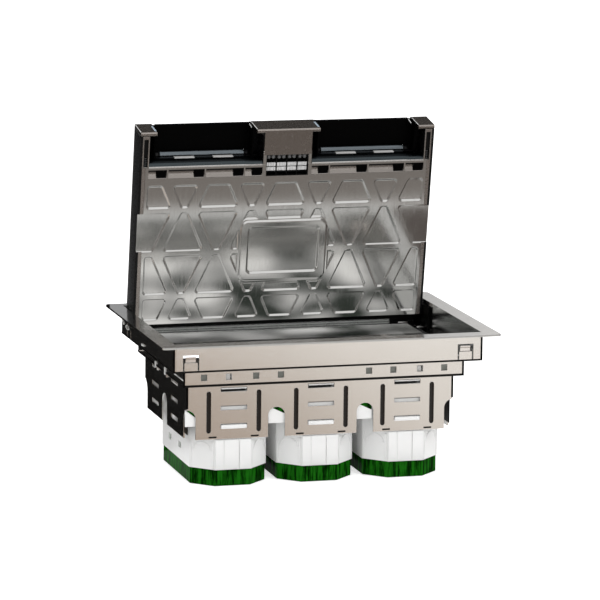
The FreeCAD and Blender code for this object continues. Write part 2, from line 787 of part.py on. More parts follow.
seal = new_body("lid_seal")
seal_edge = half_tier - frame_sheet
pad(seal, "XY_Plane", down(skirt_depth - frame_sheet), seal_thick,
    [(outline, ([(-seal_edge - seal_width, frame_sheet - tier_front - seal_width),
                 (seal_edge + seal_width, frame_sheet - tier_front - seal_width),
                 (seal_edge + seal_width, seal_end), (seal_edge, seal_end),
                 (seal_edge, frame_sheet - tier_front), (-seal_edge, frame_sheet - tier_front),
                 (-seal_edge, seal_end), (-seal_edge - seal_width, seal_end)],))])
keep(seal)

# ----------------------------------------------------------------- lid
# Drawn in the lid's own frame: X as the box, Y from the hinge to the free edge, Z into the box
cover = new_body("lid_cover")
edge_start = lid_reach - edge_depth
grip_room = edge_start - grip_travel - grip_play
grip_half = grip_width / 2 + grip_play
flap_low = flap_middle - flap_width / 2 - flap_gap
flap_high = flap_middle + flap_width / 2 + flap_gap
flap_back = flap_axis - flap_room
pad(cover, "XY_Plane", -lid_outer, cover_sheet,
    [(rectangle, (-half_lid, half_lid, -lid_tail / 2, edge_start))])
cut(cover, "XY_Plane", -lid_outer, cover_sheet * 3,
    [(rectangle, (-flap_high, -flap_low, flap_back, lid_reach + 1)),
     (rectangle, (flap_low, flap_high, flap_back, lid_reach + 1)),
     (rectangle, (-grip_half, grip_half, grip_room, lid_reach + 1))], both=True)
on_lid(cover)
keep(cover)

shell = new_body("lid_shell")
shell_low = cover_sheet - lid_outer
shell_bed = shell_low + shell_floor
plate_bed = lid_inner - plate_thick
pad(shell, "YZ_Plane", 0, lid_width,
    [(outline, ([(edge_start, shell_low), (-lid_tail / 2, shell_low), (-lid_tail, -lid_tail / 2),
                 (-lid_tail, lid_inner - lid_tail), (-plate_tail, plate_bed),
                 (-plate_tail, lid_inner), (edge_start, lid_inner)],))], both=True)
half_plate = plate_width / 2
rebate = half_plate + plate_play
# The plate's bed, with a notch in each side wall for the plate's ears
ear_low = cell_first + cell_rise - plate_play
ear_high = cell_first + cell_rise + cell_height + plate_play
cut(shell, "XY_Plane", lid_inner, plate_thick,
    [(outline, ([(-rebate, -plate_tail - 1), (rebate, -plate_tail - 1), (rebate, ear_low),
                 (half_lid + 1, ear_low), (half_lid + 1, ear_high), (rebate, ear_high),
                 (rebate, plate_end + plate_play), (-rebate, plate_end + plate_play),
                 (-rebate, ear_high), (-half_lid - 1, ear_high), (-half_lid - 1, ear_low),
                 (-rebate, ear_low)],))])
# Hollows under the plate between its ribs
rooms = []
bed_half = half_plate - bed_ledge
for column in (-1, 0, 1):
    for row in (0, 1, 2):
        wide = (bed_half * 2 - shell_rib * 2) / 3
        deep = (bed_end - bed_start - shell_rib * 2) / 3
        rooms.append((centred, ((wide + shell_rib) * column,
                                bed_start + deep / 2 + (deep + shell_rib) * row, wide, deep)))
cut(shell, "XY_Plane", plate_bed, plate_bed - shell_bed, rooms)
# Windows' pockets in the beam under the plate's top edge
niches = []
for side in (-1, 1):
    for step in (-0.5, 0.5):
        niches.append((centred, ((pocket_middle + pocket_pitch * step) * side, pocket_level,
                                 pocket_width - niche_trim, niche_height)))
cut(shell, "XY_Plane", plate_bed, niche_depth, niches)
# Cable outlets, open to the free edge, with a sloped sill
outlet_wide = outlet_outer - outlet_inner
outlet_place = (outlet_outer + outlet_inner) / 2
for side in (-1, 1):
    cut(shell, "YZ_Plane", outlet_place * side, outlet_wide,
        [(outline, ([(outlet_start, lid_inner + 1), (outlet_start, lid_inner),
                     (sill_top, sill_level), (sill_top, sill_level - sill_thick),
                     (flap_axis - flap_barrel - flap_gap / 2, sill_level - sill_thick),
                     (flap_axis - flap_barrel - flap_gap / 2, shell_bed),
                     (lid_reach + 1, shell_bed), (lid_reach + 1, lid_inner + 1)],))],
        both=True)
cut(shell, "XY_Plane", shell_low, shell_floor * 2,
    [(rectangle, (-flap_high, -flap_low, flap_back, lid_reach + 1)),
     (rectangle, (flap_low, flap_high, flap_back, lid_reach + 1))], both=True)
# The grip's bay between the outlets
cut(shell, "XY_Plane", lid_inner, lid_inner - shell_bed,
    [(rectangle, (-bay_half, bay_half, grid_bottom - grip_play, edge_start + 1))])
cut(shell, "XY_Plane", lid_inner, grip_sheet + grip_play,
    [(rectangle, (-outlet_inner, outlet_inner, grid_bottom - grip_play, edge_start + 1))])
cut(shell, "XY_Plane", lid_inner + 1, lid_inner + lid_outer + 2,
    [(rectangle, (-grip_half, grip_half, grip_room, edge_start + 1))])
# Spring channels beside the outlets
channels = [(rectangle, (channel_inner * side if side > 0 else -channel_outer,
                         channel_outer if side > 0 else -channel_inner,
                         outlet_start + grip_play, edge_start - grip_travel))
            for side in (-1, 1)]
cut(shell, "XY_Plane", lid_inner, channel_depth, channels)
# Bores for the hinge pins
for side in (-1, 1):
    cut(shell, "YZ_Plane", half_lid * side, pin_reach * 2,
        [(circle, (0, 0, pin_radius + running_gap))], both=True)
# Lugs beside each barrel, with the bores that the flaps' stubs turn in
lug_offset = barrel_width / 2 + lug_gap + lug_width / 2
for middle in (-flap_middle, flap_middle):
    for across in (middle - lug_offset, middle + lug_offset):
        pad(shell, "YZ_Plane", across, lug_width,
            [(rectangle, (flap_axis - lug_reach, flap_axis, -flap_sink - lug_radius,
                          lug_radius - flap_sink))], both=True)
        pad(shell, "YZ_Plane", across, lug_width,
            [(circle, (flap_axis, -flap_sink, lug_radius))], both=True)
for middle in (-flap_middle, flap_middle):
    cut(shell, "YZ_Plane", middle, barrel_width + flap_stub * 4,
        [(circle, (flap_axis, -flap_sink, flap_stub + running_gap))], both=True)
on_lid(shell)
keep(shell)

# Pressed stiffener plate with its field of triangles and its middle medallion
plate = new_body("lid_stiffener_plate")
ear_low = cell_first + cell_rise
ear_high = ear_low + cell_height
pad(plate, "XY_Plane", plate_bed, plate_thick,
    [(outline, ([(-half_plate, -plate_tail), (half_plate, -plate_tail), (half_plate, ear_low),
                 (half_lid, ear_low), (half_lid, ear_high), (half_plate, ear_high),
                 (half_plate, plate_end), (-half_plate, plate_end), (-half_plate, ear_high),
                 (-half_lid, ear_high), (-half_lid, ear_low), (-half_plate, ear_low)],))])


def triangle(drawn, across, base, sign):
    """One pressed cell: a triangle with a blunt tip, pointing up or down the lid."""
    foot = cell_base / 2
    tip = cell_tip / 2
    if sign > 0:
        outline(drawn, [(across - foot, base), (across + foot, base),
                        (across + tip, base + cell_height), (across - tip, base + cell_height)])
    else:
        outline(drawn, [(across - tip, base), (across + tip, base),
                        (across + foot, base + cell_height),
                        (across - foot, base + cell_height)])


for sign, start, count, lift in ((1, -2.0, 5, 0), (1, -1.5, 4, -1), (-1, -1.5, 4, 0),
                                 (-1, -2.0, 5, -1)):
    cells = []
    for column in range(count):
        for row in (0, 2):
            base = cell_first + cell_rise * (row + lift)
            cells.append((triangle, (cell_pitch * (start + column), base, sign)))
    cut(plate, "XY_Plane", lid_inner, press_depth, cells)
# Flat margins round the pressed field
half_field = field_width / 2
face_bed = lid_inner - press_depth
margins = [(rectangle, (-half_plate, half_plate, field_top, plate_end)),
           (rectangle, (-half_plate, half_plate, -plate_tail, field_bottom))]
pad(plate, "XY_Plane", face_bed, press_depth, margins)
strips = []
for low, high in ((field_bottom, ear_low - cell_gap), (ear_high + cell_gap, field_top)):
    strips.append((rectangle, (-half_plate, -half_field, low, high)))
    strips.append((rectangle, (half_field, half_plate, low, high)))
pad(plate, "XY_Plane", face_bed, press_depth, strips)
pad(plate, "XY_Plane", face_bed, press_depth,
    [(centred, (0, medal_middle, medal_width, medal_height))])
cut(plate, "XY_Plane", lid_inner, press_depth,
    [(centred, (0, medal_middle, medal_width - medal_band * 2, medal_height - medal_band * 2))])
# Windows along the top margin, and the notch for the grip's grille
openings = []
for side in (-1, 1):
    for step in (-0.5, 0.5):
        openings.append((centred, ((pocket_middle + pocket_pitch * step) * side, pocket_level,
                                   pocket_width, pocket_height)))
    for step in (-1.25, 1.25):
        openings.append((centred, ((pocket_middle + pocket_pitch * step) * side, pocket_level,
                                   pocket_width / 2, pocket_height)))
openings.append((rectangle, (-outlet_inner + grip_play, outlet_inner - grip_play,
                             grid_bottom - grip_play, plate_end + 1)))
cut(plate, "XY_Plane", lid_inner, plate_thick * 2, openings, both=True)
on_lid(plate)
keep(plate)

# Corner caps that finish the lid's free corners
for name, side in (("left", -1), ("right", 1)):
    cap = new_body(name + "_corner_cap")
    reach = (half_lid + cap_inner) / 2 * side
    pad(cap, "XY_Plane", -lid_outer, lid_outer + lid_inner,
        [(centred, (reach, lid_reach - edge_depth / 2, half_lid - cap_inner, edge_depth))])
    round_edges(cap, across_at(lid_inner, lid_reach, lid_reach - edge_depth), edge_round)
    on_lid(cap)
    keep(cap)

# Sprung grip in the middle of the free edge: a lip and the panel under it
grip = new_body("lid_grip")
pad(grip, "XY_Plane", -lid_outer, lid_outer + lid_inner,
    [(centred, (0, lid_reach - edge_depth / 2, grip_width, edge_depth))])
round_edges(grip, across_at(lid_inner, lid_reach, lid_reach - edge_depth), edge_round)
pad(grip, "XY_Plane", lid_inner - grip_sheet, grip_sheet,
    [(rectangle, (-grip_panel / 2, grip_panel / 2, grid_top, lid_reach - edge_depth / 2))])
on_lid(grip)
keep(grip)

# Grille under the grip panel
grille = new_body("grip_grille")
grille_top = lid_inner - grip_sheet - grip_play
pad(grille, "XY_Plane", shell_bed, grille_top - shell_bed,
    [(rectangle, (-grid_width / 2, grid_width / 2, grid_bottom, grid_top))])
bars = []
bay_wide = grid_width / 4
bay_high = (grid_top - grid_bottom) / 3
for column in range(4):
    for row in range(3):
        bars.append((centred, (bay_wide * (column - 1.5),
                               grid_bottom + bay_high * (row + 0.5),
                               bay_wide - grid_bar, bay_high - grid_bar)))
cut(grille, "XY_Plane", grille_top, grille_depth, bars)
on_lid(grille)
keep(grille)

# Cable flaps: a leaf, its hinge barrel and the two stubs it turns on
for name, side in (("left", -1), ("right", 1)):
    flap = new_body(name + "_cable_flap")
    pad(flap, "YZ_Plane", flap_middle * side, flap_width,
        [(rectangle, (flap_axis, lid_reach - flap_gap / 2, -lid_outer, flap_thick - lid_outer))],
        both=True)
    notch_low = barrel_width / 2
    notch_high = flap_width / 2 + 1
    cut(flap, "XY_Plane", flap_thick - lid_outer, flap_thick * 3,
        [(rectangle, (flap_middle * side - notch_high, flap_middle * side - notch_low,
                      flap_axis - 1, flap_axis + lug_radius + lug_gap * 2)),
         (rectangle, (flap_middle * side + notch_low, flap_middle * side + notch_high,
                      flap_axis - 1, flap_axis + lug_radius + lug_gap * 2))], both=True)
    pad(flap, "YZ_Plane", flap_middle * side, barrel_width,
        [(circle, (flap_axis, -flap_sink, flap_barrel))], both=True)
    pad(flap, "YZ_Plane", flap_middle * side, barrel_width + flap_stub * 3,
        [(circle, (flap_axis, -flap_sink, flap_stub))], both=True)
    on_lid(flap)
    keep(flap)

# Coil springs, drawn as their envelopes, in the channels beside the outlets
coils = []
for side in (-1, 1):
    coil = doc.addObject("Part::Cylinder", "corner_spring")
    bind(coil, "Radius", spring_radius)
    bind(coil, "Height", spring_length)
    coils.append((coil, (channel_inner + channel_outer) / 2 * side))
    coil.Placement = FreeCAD.Placement(V(0, 0, 0), FreeCAD.Rotation(V(1, 0, 0), -90))
    bind(coil, "Placement.Base.x", coils[-1][1])
    bind(coil, "Placement.Base.y", outlet_start + grip_play)
    bind(coil, "Placement.Base.z", lid_inner - channel_depth + spring_radius)
coil_group = doc.addObject("Part::Compound", "outlet_springs")
coil_group.Links = [entry[0] for entry in coils]
on_lid(coil_group)
keep(coil_group, "outlet_springs")

# Steel tabs that hook the plate over the outlets' sills
tabs = []
for side in (-1, 1):
    for step in (-0.5, 0.5):
        tab = doc.addObject("Part::Box", "sill_tab")
        bind(tab, "Length", tab_width)
        bind(tab, "Width", tab_sheet)
        bind(tab, "Height", sill_thick / 2)
        seat(tab, (pocket_middle + pocket_pitch * step) * side - tab_width / 2, sill_top,
             sill_level - sill_thick / 2)
        tabs.append(tab)
tab_group = doc.addObject("Part::Compound", "sill_tabs")
tab_group.Links = tabs
on_lid(tab_group)
keep(tab_group, "sill_tabs")

# ----------------------------------------------------------------- check and export
doc.recompute()
for thing in doc.Objects:
    if "Invalid" in thing.State or "Error" in thing.State:
        raise RuntimeError("%s did not build" % thing.Label)
for piece in nodes:
    if piece.Shape.isNull() or not piece.Shape.isValid():
        raise RuntimeError("%s has no valid shape" % piece.Label)
for piece in nodes:
    piece.Shape.exportStep("parts/%s.step" % piece.Label)
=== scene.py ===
"""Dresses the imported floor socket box: finishes for its pieces, the pressed lid plate, the
fine pieces of lid and housing, and the studio it stands in."""

import json
import math

import bmesh
import bpy
import numpy as np
from mathutils import Matrix, Vector


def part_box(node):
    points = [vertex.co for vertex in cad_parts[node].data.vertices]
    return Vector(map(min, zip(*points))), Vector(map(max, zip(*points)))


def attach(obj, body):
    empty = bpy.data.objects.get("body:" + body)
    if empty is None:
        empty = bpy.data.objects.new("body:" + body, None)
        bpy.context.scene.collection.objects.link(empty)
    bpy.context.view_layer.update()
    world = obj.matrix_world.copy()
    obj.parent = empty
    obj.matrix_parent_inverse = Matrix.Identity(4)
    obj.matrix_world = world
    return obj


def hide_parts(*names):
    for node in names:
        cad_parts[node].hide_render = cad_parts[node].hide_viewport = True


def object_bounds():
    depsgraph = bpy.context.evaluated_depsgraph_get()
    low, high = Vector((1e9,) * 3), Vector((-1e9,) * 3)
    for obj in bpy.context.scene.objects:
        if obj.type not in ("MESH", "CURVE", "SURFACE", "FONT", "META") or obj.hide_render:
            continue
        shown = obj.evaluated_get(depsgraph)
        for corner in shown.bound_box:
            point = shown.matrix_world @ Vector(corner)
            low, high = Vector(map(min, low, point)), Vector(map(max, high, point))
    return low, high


bl_info = {
    "name": "Floor Socket Box",
    "version": (1, 0, 0),
    "blender": (4, 5, 0),
    "location": "View3D > Sidebar > Floor Box",
    "description": "Builds the finishes and fine pieces of a floor socket box",
    "category": "Object",
}

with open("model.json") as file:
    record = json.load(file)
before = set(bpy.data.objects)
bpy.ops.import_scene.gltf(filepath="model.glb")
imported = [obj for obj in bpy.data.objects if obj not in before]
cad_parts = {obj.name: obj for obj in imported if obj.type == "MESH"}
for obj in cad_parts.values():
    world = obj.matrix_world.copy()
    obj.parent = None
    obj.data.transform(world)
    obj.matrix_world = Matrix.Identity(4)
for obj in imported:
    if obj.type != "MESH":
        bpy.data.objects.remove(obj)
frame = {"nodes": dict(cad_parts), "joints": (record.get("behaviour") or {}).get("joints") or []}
CAD_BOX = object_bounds()
NODES = frame["nodes"]
MM = 0.001


# ------------------------------------------------------------------ settings
class FloorBoxSizes(bpy.types.PropertyGroup):
    """Sizes of the pieces made here"""
    press_round: bpy.props.FloatProperty(
        name="Press Round", description="Width of the slope round a pressed cell",
        default=1.25 * MM, unit="LENGTH")
    press_depth: bpy.props.FloatProperty(
        name="Press Depth", description="Depth of a pressed cell", default=0.9 * MM,
        unit="LENGTH")
    edge_round: bpy.props.FloatProperty(
        name="Edge Round", description="Shaded rounding of sheet edges", default=0.45 * MM,
        unit="LENGTH")


class FloorBoxColours(bpy.types.PropertyGroup):
    """Colours of the finishes"""
    steel: bpy.props.FloatVectorProperty(
        name="Steel", description="Stainless sheet", subtype="COLOR", size=3,
        default=(0.70, 0.70, 0.69))
    plate: bpy.props.FloatVectorProperty(
        name="Plate", description="Bright pressed plate", subtype="COLOR", size=3,
        default=(0.64, 0.635, 0.62))
    bronze: bpy.props.FloatVectorProperty(
        name="Bronze", description="Dark trim lacquer", subtype="COLOR", size=3,
        default=(0.37, 0.335, 0.31))
    shell: bpy.props.FloatVectorProperty(
        name="Shell", description="Black moulding", subtype="COLOR", size=3,
        default=(0.004, 0.004, 0.0045))
    cup: bpy.props.FloatVectorProperty(
        name="Cup", description="White moulding", subtype="COLOR", size=3,
        default=(0.88, 0.88, 0.875))
    green: bpy.props.FloatVectorProperty(
        name="Green", description="Clear green moulding", subtype="COLOR", size=3,
        default=(0.010, 0.125, 0.006))


def sizes():
    """The size settings."""
    return bpy.context.scene.floor_box_sizes


def colours():
    """The colour settings."""
    return bpy.context.scene.floor_box_colours


# ------------------------------------------------------------------ finishes
def new_finish(name):
    """An empty node material with its shader."""
    made = bpy.data.materials.new(name)
    made.use_nodes = True
    return made, made.node_tree, made.node_tree.nodes["Principled BSDF"]


def link(tree, source, target):
    """Join two sockets."""
    tree.links.new(source, target)


def grain(tree, scale, stretch=(1, 1, 1), detail=3.0, rough=0.55):
    """Noise over the object's own coordinates, stretched along one way."""
    place = tree.nodes.new("ShaderNodeTexCoord")
    mapped = tree.nodes.new("ShaderNodeMapping")
    mapped.inputs["Scale"].default_value = stretch
    noise = tree.nodes.new("ShaderNodeTexNoise")
    noise.inputs["Scale"].default_value = scale
    noise.inputs["Detail"].default_value = detail
    noise.inputs["Roughness"].default_value = rough
    link(tree, place.outputs["Object"], mapped.inputs["Vector"])
    link(tree, mapped.outputs["Vector"], noise.inputs["Vector"])
    return noise.outputs["Fac"]


def spread(tree, fac, low, high):
    """A number that runs from low to high with the grain."""
    made = tree.nodes.new("ShaderNodeMapRange")
    made.inputs["From Min"].default_value = 0.3
    made.inputs["From Max"].default_value = 0.7
    made.inputs["To Min"].default_value = low
    made.inputs["To Max"].default_value = high
    link(tree, fac, made.inputs["Value"])
    return made.outputs["Result"]


def between(tree, share, first, last):
    """A colour that runs from the first to the last with a share."""
    made = tree.nodes.new("ShaderNodeMix")
    made.data_type = "RGBA"
    made.inputs[6].default_value = (*first, 1)
    made.inputs[7].default_value = (*last, 1)
    link(tree, share, made.inputs[0])
    return made.outputs[2]


def tint(tree, fac, colour, change):
    """A colour that wanders a little either side of its own value."""
    return between(tree, fac, [c * (1 - change) for c in colour],
                   [min(c * (1 + change), 1) for c in colour])


def worked(tree, kind, *values):
    """The result of one step of arithmetic on sockets and numbers."""
    made = tree.nodes.new("ShaderNodeMath")
    made.operation = kind
    for socket, value in zip(made.inputs, values):
        if isinstance(value, float):
            socket.default_value = value
        else:
            link(tree, value, socket)
    return made.outputs[0]


def own_place(tree, source=None):
    """The three coordinates of the object's own frame, or of another source."""
    if source is None:
        source = tree.nodes.new("ShaderNodeTexCoord").outputs["Object"]
    parts = tree.nodes.new("ShaderNodeSeparateXYZ")
    link(tree, source, parts.inputs["Vector"])
    return parts.outputs


def bump(tree, fac, height, strength=0.3, rounding=None):
    """Fine relief from the grain, over edges shaded round."""
    made = tree.nodes.new("ShaderNodeBump")
    made.inputs["Strength"].default_value = strength
    made.inputs["Distance"].default_value = height
    link(tree, fac, made.inputs["Height"])
    if rounding:
        edge = tree.nodes.new("ShaderNodeBevel")
        edge.samples = 4
        edge.inputs["Radius"].default_value = rounding
        link(tree, edge.outputs["Normal"], made.inputs["Normal"])
    return made.outputs["Normal"]


def brushed(name, colour, low, high, stretch, rounding=None, height=0.00002):
    """Brushed or pressed sheet metal."""
    made, tree, shader = new_finish(name)
    fine = grain(tree, 90.0, stretch)
    broad = grain(tree, 9.0, (1, 1, 1), 2.0)
    shader.inputs["Metallic"].default_value = 1.0
    link(tree, tint(tree, broad, colour, 0.05), shader.inputs["Base Color"])
    link(tree, spread(tree, fine, low, high), shader.inputs["Roughness"])
    link(tree, bump(tree, fine, height, 0.25, rounding), shader.inputs["Normal"])
    return made


def moulded(name, colour, low, high, rounding=None, specular=0.5):
    """Moulded plastic with a faint texture."""
    made, tree, shader = new_finish(name)
    fine = grain(tree, 900.0)
    broad = grain(tree, 30.0)
    link(tree, tint(tree, broad, colour, 0.04), shader.inputs["Base Color"])
    link(tree, spread(tree, broad, low, high), shader.inputs["Roughness"])
    shader.inputs["Specular IOR Level"].default_value = specular
    link(tree, bump(tree, fine, 0.000004, 0.2, rounding), shader.inputs["Normal"])
    return made


def clear_green(name, colour, rounding):
    """Clear green plastic, with moulding streaks and dark depths."""
    made, tree, shader = new_finish(name)
    streaks = grain(tree, 55.0, (6, 6, 0.6), 4.0, 0.7)
    share = spread(tree, streaks, -0.8, 1.9)
    deep = (colour[0] * 0.1, colour[1] * 0.12, colour[2] * 0.1)
    link(tree, between(tree, share, deep, colour), shader.inputs["Base Color"])
    link(tree, spread(tree, streaks, 0.05, 0.12), shader.inputs["Roughness"])
    shader.inputs["Specular IOR Level"].default_value = 0.1
    shader.inputs["IOR"].default_value = 1.06
    link(tree, bump(tree, streaks, 0.0003, 0.3, rounding), shader.inputs["Normal"])
    return made


RIM_HALF = 120.8 * MM
RIM_FACE = 14.6 * MM
RIM_METAL = 0.9


def lid_shell_finish(name, dark, rim, rounding):
    """Black moulding whose front rims carry the bronze lacquer."""
    made, tree, shader = new_finish(name)
    fine = grain(tree, 900.0)
    place = tree.nodes.new("ShaderNodeTexCoord")
    turned = tree.nodes.new("ShaderNodeMapping")
    turned.vector_type = "TEXTURE"
    turned.inputs["Location"].default_value = HINGE
    turned.inputs["Rotation"].default_value = (math.pi - OPEN, 0, 0)
    link(tree, place.outputs["Object"], turned.inputs["Vector"])
    parts = own_place(tree, turned.outputs["Vector"])
    inner = worked(tree, "LESS_THAN", worked(tree, "ABSOLUTE", parts["X"]), RIM_HALF)
    front = worked(tree, "GREATER_THAN", parts["Z"], RIM_FACE)
    share = worked(tree, "MULTIPLY", inner, front)
    link(tree, between(tree, share, dark, rim), shader.inputs["Base Color"])
    link(tree, worked(tree, "MULTIPLY", share, RIM_METAL), shader.inputs["Metallic"])
    link(tree, spread(tree, fine, 0.24, 0.34), shader.inputs["Roughness"])
    shader.inputs["Specular IOR Level"].default_value = 0.2
    link(tree, bump(tree, fine, 0.000004, 0.2, rounding), shader.inputs["Normal"])
    return made


def make_finishes():
    """Every finish by name."""
    tone = colours()
    edge = sizes().edge_round
    return {
        "steel": brushed("stainless_sheet", tone.steel, 0.12, 0.19, (1, 1, 14), edge),
        "deck": brushed("deck_sheet", (0.30, 0.29, 0.28), 0.3, 0.4, (1, 14, 1), edge),
        "steel_top": brushed("stainless_cover", tone.steel, 0.26, 0.34, (1, 14, 14), edge),
        "plate": brushed("pressed_plate_steel", tone.plate, 0.09, 0.15, (14, 1, 1), None),
        "spring": brushed("spring_steel", (0.72, 0.71, 0.70), 0.16, 0.24, (1, 1, 6), edge / 2),
        "bronze": brushed("bronze_trim", tone.bronze, 0.22, 0.28, (3, 3, 3), edge, 0.000002),
        # Near-black matte finish of painted shade
        "shadow": moulded("shadow_black", (0.004, 0.004, 0.004), 0.45, 0.55, None, 0.15),
        # Dark steel of painted shade and painted dark reflection, for the tongue beads and the
        # window edges
        "bead": brushed("bead_shade", (0.035, 0.034, 0.034), 0.20, 0.28, (1, 1, 6), None),
        "shell": lid_shell_finish("lid_moulding", tone.shell, tone.bronze, edge),
        # Near-zero black: partly the flaps' black moulding, partly painted shade of the outlets;
        # also on the latches, cheeks and corner strips
        "flap": moulded("flap_moulding", (0.0008, 0.0008, 0.0008), 0.3, 0.4, edge, 0.04),
        # A lit and a shaded copy of one satin finish: the nose's painted sheen and the slope's
        # painted shade
        "sill": brushed("sill_painted_sheen", (0.055, 0.066, 0.072), 0.25, 0.32, (1, 1, 1), edge,
                        0.000002),
        "sill_dark": brushed("sill_painted_shade", (0.012, 0.015, 0.017), 0.25, 0.32, (1, 1, 1), edge,
                             0.000002),
        # Bluish grey painted sheen on the flaps' black hinge barrels
        "barrel": brushed("flap_barrel_sheen", (0.150, 0.172, 0.188), 0.22, 0.28, (1, 1, 1),
                          edge, 0.000002),
        "ramp": brushed("window_ramp_steel", (0.30, 0.275, 0.255), 0.2, 0.26, (1, 1, 1), None,
                        0.000002),
        "ledge": brushed("ledge_sheet", (0.30, 0.31, 0.30), 0.2, 0.3, (1, 1, 8), edge),
        "hole": moulded("hole_grey", (0.20, 0.21, 0.19), 0.4, 0.5, None),
        # Light bluish grey: painted reflection on the ends of the cap and grip
        "cap_end": moulded("cap_end_sheen", (0.30, 0.36, 0.42), 0.4, 0.5, None),
        "hook": moulded("hook_grey", (0.36, 0.36, 0.355), 0.5, 0.6, None),
        # Light grey painted highlight, for glints on edges, clips, holes and the ledge rim
        "glint": moulded("end_sheen", (0.62, 0.62, 0.61), 0.4, 0.5, None),
        "comb": moulded("comb_grey", (0.66, 0.655, 0.65), 0.35, 0.45, None),
        "lobe": moulded("lobe_grey", (0.15, 0.15, 0.15), 0.35, 0.45, None),
        # Dark painted shade on the coil springs in their channels
        "coil": moulded("coil_shade", (0.05, 0.05, 0.05), 0.3, 0.4, None),
        "white": moulded("white_moulding", tone.cup, 0.30, 0.40, edge),
        "socket": moulded("socket_moulding", (0.03, 0.03, 0.032), 0.3, 0.4, edge),
        "green": clear_green("clear_green_moulding", tone.green, edge),
        "brass": brushed("contact_brass", (0.72, 0.55, 0.26), 0.2, 0.3, (1, 1, 6), edge / 2),
        "rubber": moulded("seal_rubber", (0.02, 0.02, 0.021), 0.6, 0.7, None, 0.3),
    }


FINISH = {}


def finish(name):
    """One finish, made on first use."""
    if not FINISH:
        FINISH.update(make_finishes())
    return FINISH[name]


def dress(node, name):
    """Give a carried-over node its finish."""
    thing = NODES[node]
    for place in thing.material_slots:
        place.material = finish(name)
    if not thing.material_slots:
        thing.data.materials.append(finish(name))


def place_mesh(name, mesh, look, body, *covered):
    """Put a made mesh in the scene with a finish and a material slot, on its body."""
    thing = bpy.data.objects.new(name, mesh)
    bpy.context.collection.objects.link(thing)
    mesh.materials.append(finish(look))
    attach(thing, body)
    if covered:
        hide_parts(*covered)
    return thing


# ------------------------------------------------------------------ stage
def seen_or_mirrored(tree, low, high):
    """A number that is high for the camera, mirrors and clear pieces, and low for the rest."""
    path = tree.nodes.new("ShaderNodeLightPath")
    total = path.outputs["Is Camera Ray"]
    for kind in ("Is Glossy Ray", "Is Transmission Ray"):
        total = worked(tree, "MAXIMUM", total, path.outputs[kind])
    made = tree.nodes.new("ShaderNodeMapRange")
    made.inputs["To Min"].default_value = low
    made.inputs["To Max"].default_value = high
    link(tree, total, made.inputs["Value"])
    return made.outputs["Result"]


def lying(left, right, near, far, height):
    """Corners of a level rectangle."""
    return [(left, near, height), (right, near, height), (right, far, height),
            (left, far, height)]


def upright(left, right, place, foot, head):
    """Corners of an upright rectangle that runs across the box."""
    return [(left, place, foot), (right, place, foot), (right, place, head),
            (left, place, head)]


def new_card(name, corners):
    """A studio card that only metal and gloss see: its nodes and its glow."""
    mesh = bpy.data.meshes.new(name)
    mesh.from_pydata(corners, [], [(0, 1, 2, 3)])
    card = bpy.data.objects.new(name, mesh)
    bpy.context.collection.objects.link(card)
    made, tree, shader = new_finish(name)
    tree.nodes.remove(shader)
    glow = tree.nodes.new("ShaderNodeEmission")
    link(tree, glow.outputs["Emission"], tree.nodes["Material Output"].inputs["Surface"])
    mesh.materials.append(made)
    card.visible_camera = False
    card.visible_diffuse = False
    card.visible_shadow = False
    card.visible_transmission = False
    return tree, glow


def flag(name, corners, axis, span, first, last):
    """A card shaded along one axis from its first to its last colour."""
    tree, glow = new_card(name, corners)
    share = tree.nodes.new("ShaderNodeMapRange")
    share.interpolation_type = "SMOOTHSTEP"
    share.inputs["From Min"].default_value = span[0]
    share.inputs["From Max"].default_value = span[1]
    link(tree, own_place(tree)[axis], share.inputs["Value"])
    link(tree, between(tree, share.outputs["Result"], first, last), glow.inputs["Color"])


def depth_card():
    """A card low in the box that gives the mirrors soft patches of silver and green."""
    tree, glow = new_card("depth_card", lying(-0.116, 0.116, -0.072, 0.076, 0.088))
    ramp = tree.nodes.new("ShaderNodeValToRGB")
    stops = ramp.color_ramp.elements
    stops[0].position, stops[0].color = 0.33, (0.040, 0.048, 0.041, 1)
    stops[1].position, stops[1].color = 0.64, (1.0, 0.99, 0.97, 1)
    middle = stops.new(0.47)
    middle.color = (0.42, 0.42, 0.412, 1)
    link(tree, grain(tree, 16.0, (1.2, 1.6, 1), 1.0, 0.5), ramp.inputs["Fac"])
    link(tree, ramp.outputs["Color"], glow.inputs["Color"])
    fading = tree.nodes.new("ShaderNodeMapRange")
    fading.inputs["From Min"].default_value = 0.040
    fading.inputs["From Max"].default_value = 0.056
    fading.inputs["To Min"].default_value = 1.0
    fading.inputs["To Max"].default_value = 0.42
    link(tree, own_place(tree)["Y"], fading.inputs["Value"])
    link(tree, fading.outputs["Result"], glow.inputs["Strength"])


FLOOR_LEVEL = CAD_BOX[0][2] - 0.0005
CARD_LIFT = 0.002
FLOOR_REACH = 8.0
FLANGE_LEVEL = 0.1172
FLANGE_FRONT = -0.1003
FLANGE_END = 0.1395
BLACK = (0.004, 0.004, 0.004)
DARK = (0.010, 0.010, 0.010)
LAMPS = (("key_lamp", (1.6, -1.9, 2.2), 1.6, 30.0),
         ("fill_lamp", (-2.0, -1.2, 1.6), 1.4, 10.0),
         ("top_lamp", (0.0, 0.3, 2.6), 2.0, 16.0))


def light_world(scene):
    """A white room that lights softly and shows white."""
    world = bpy.data.worlds.new("studio_world")
    scene.world = world
    world.use_nodes = True
    back = world.node_tree.nodes["Background"]
    back.inputs["Color"].default_value = (1, 1, 1, 1)
    link(world.node_tree, seen_or_mirrored(world.node_tree, 0.75, 1.0), back.inputs["Strength"])


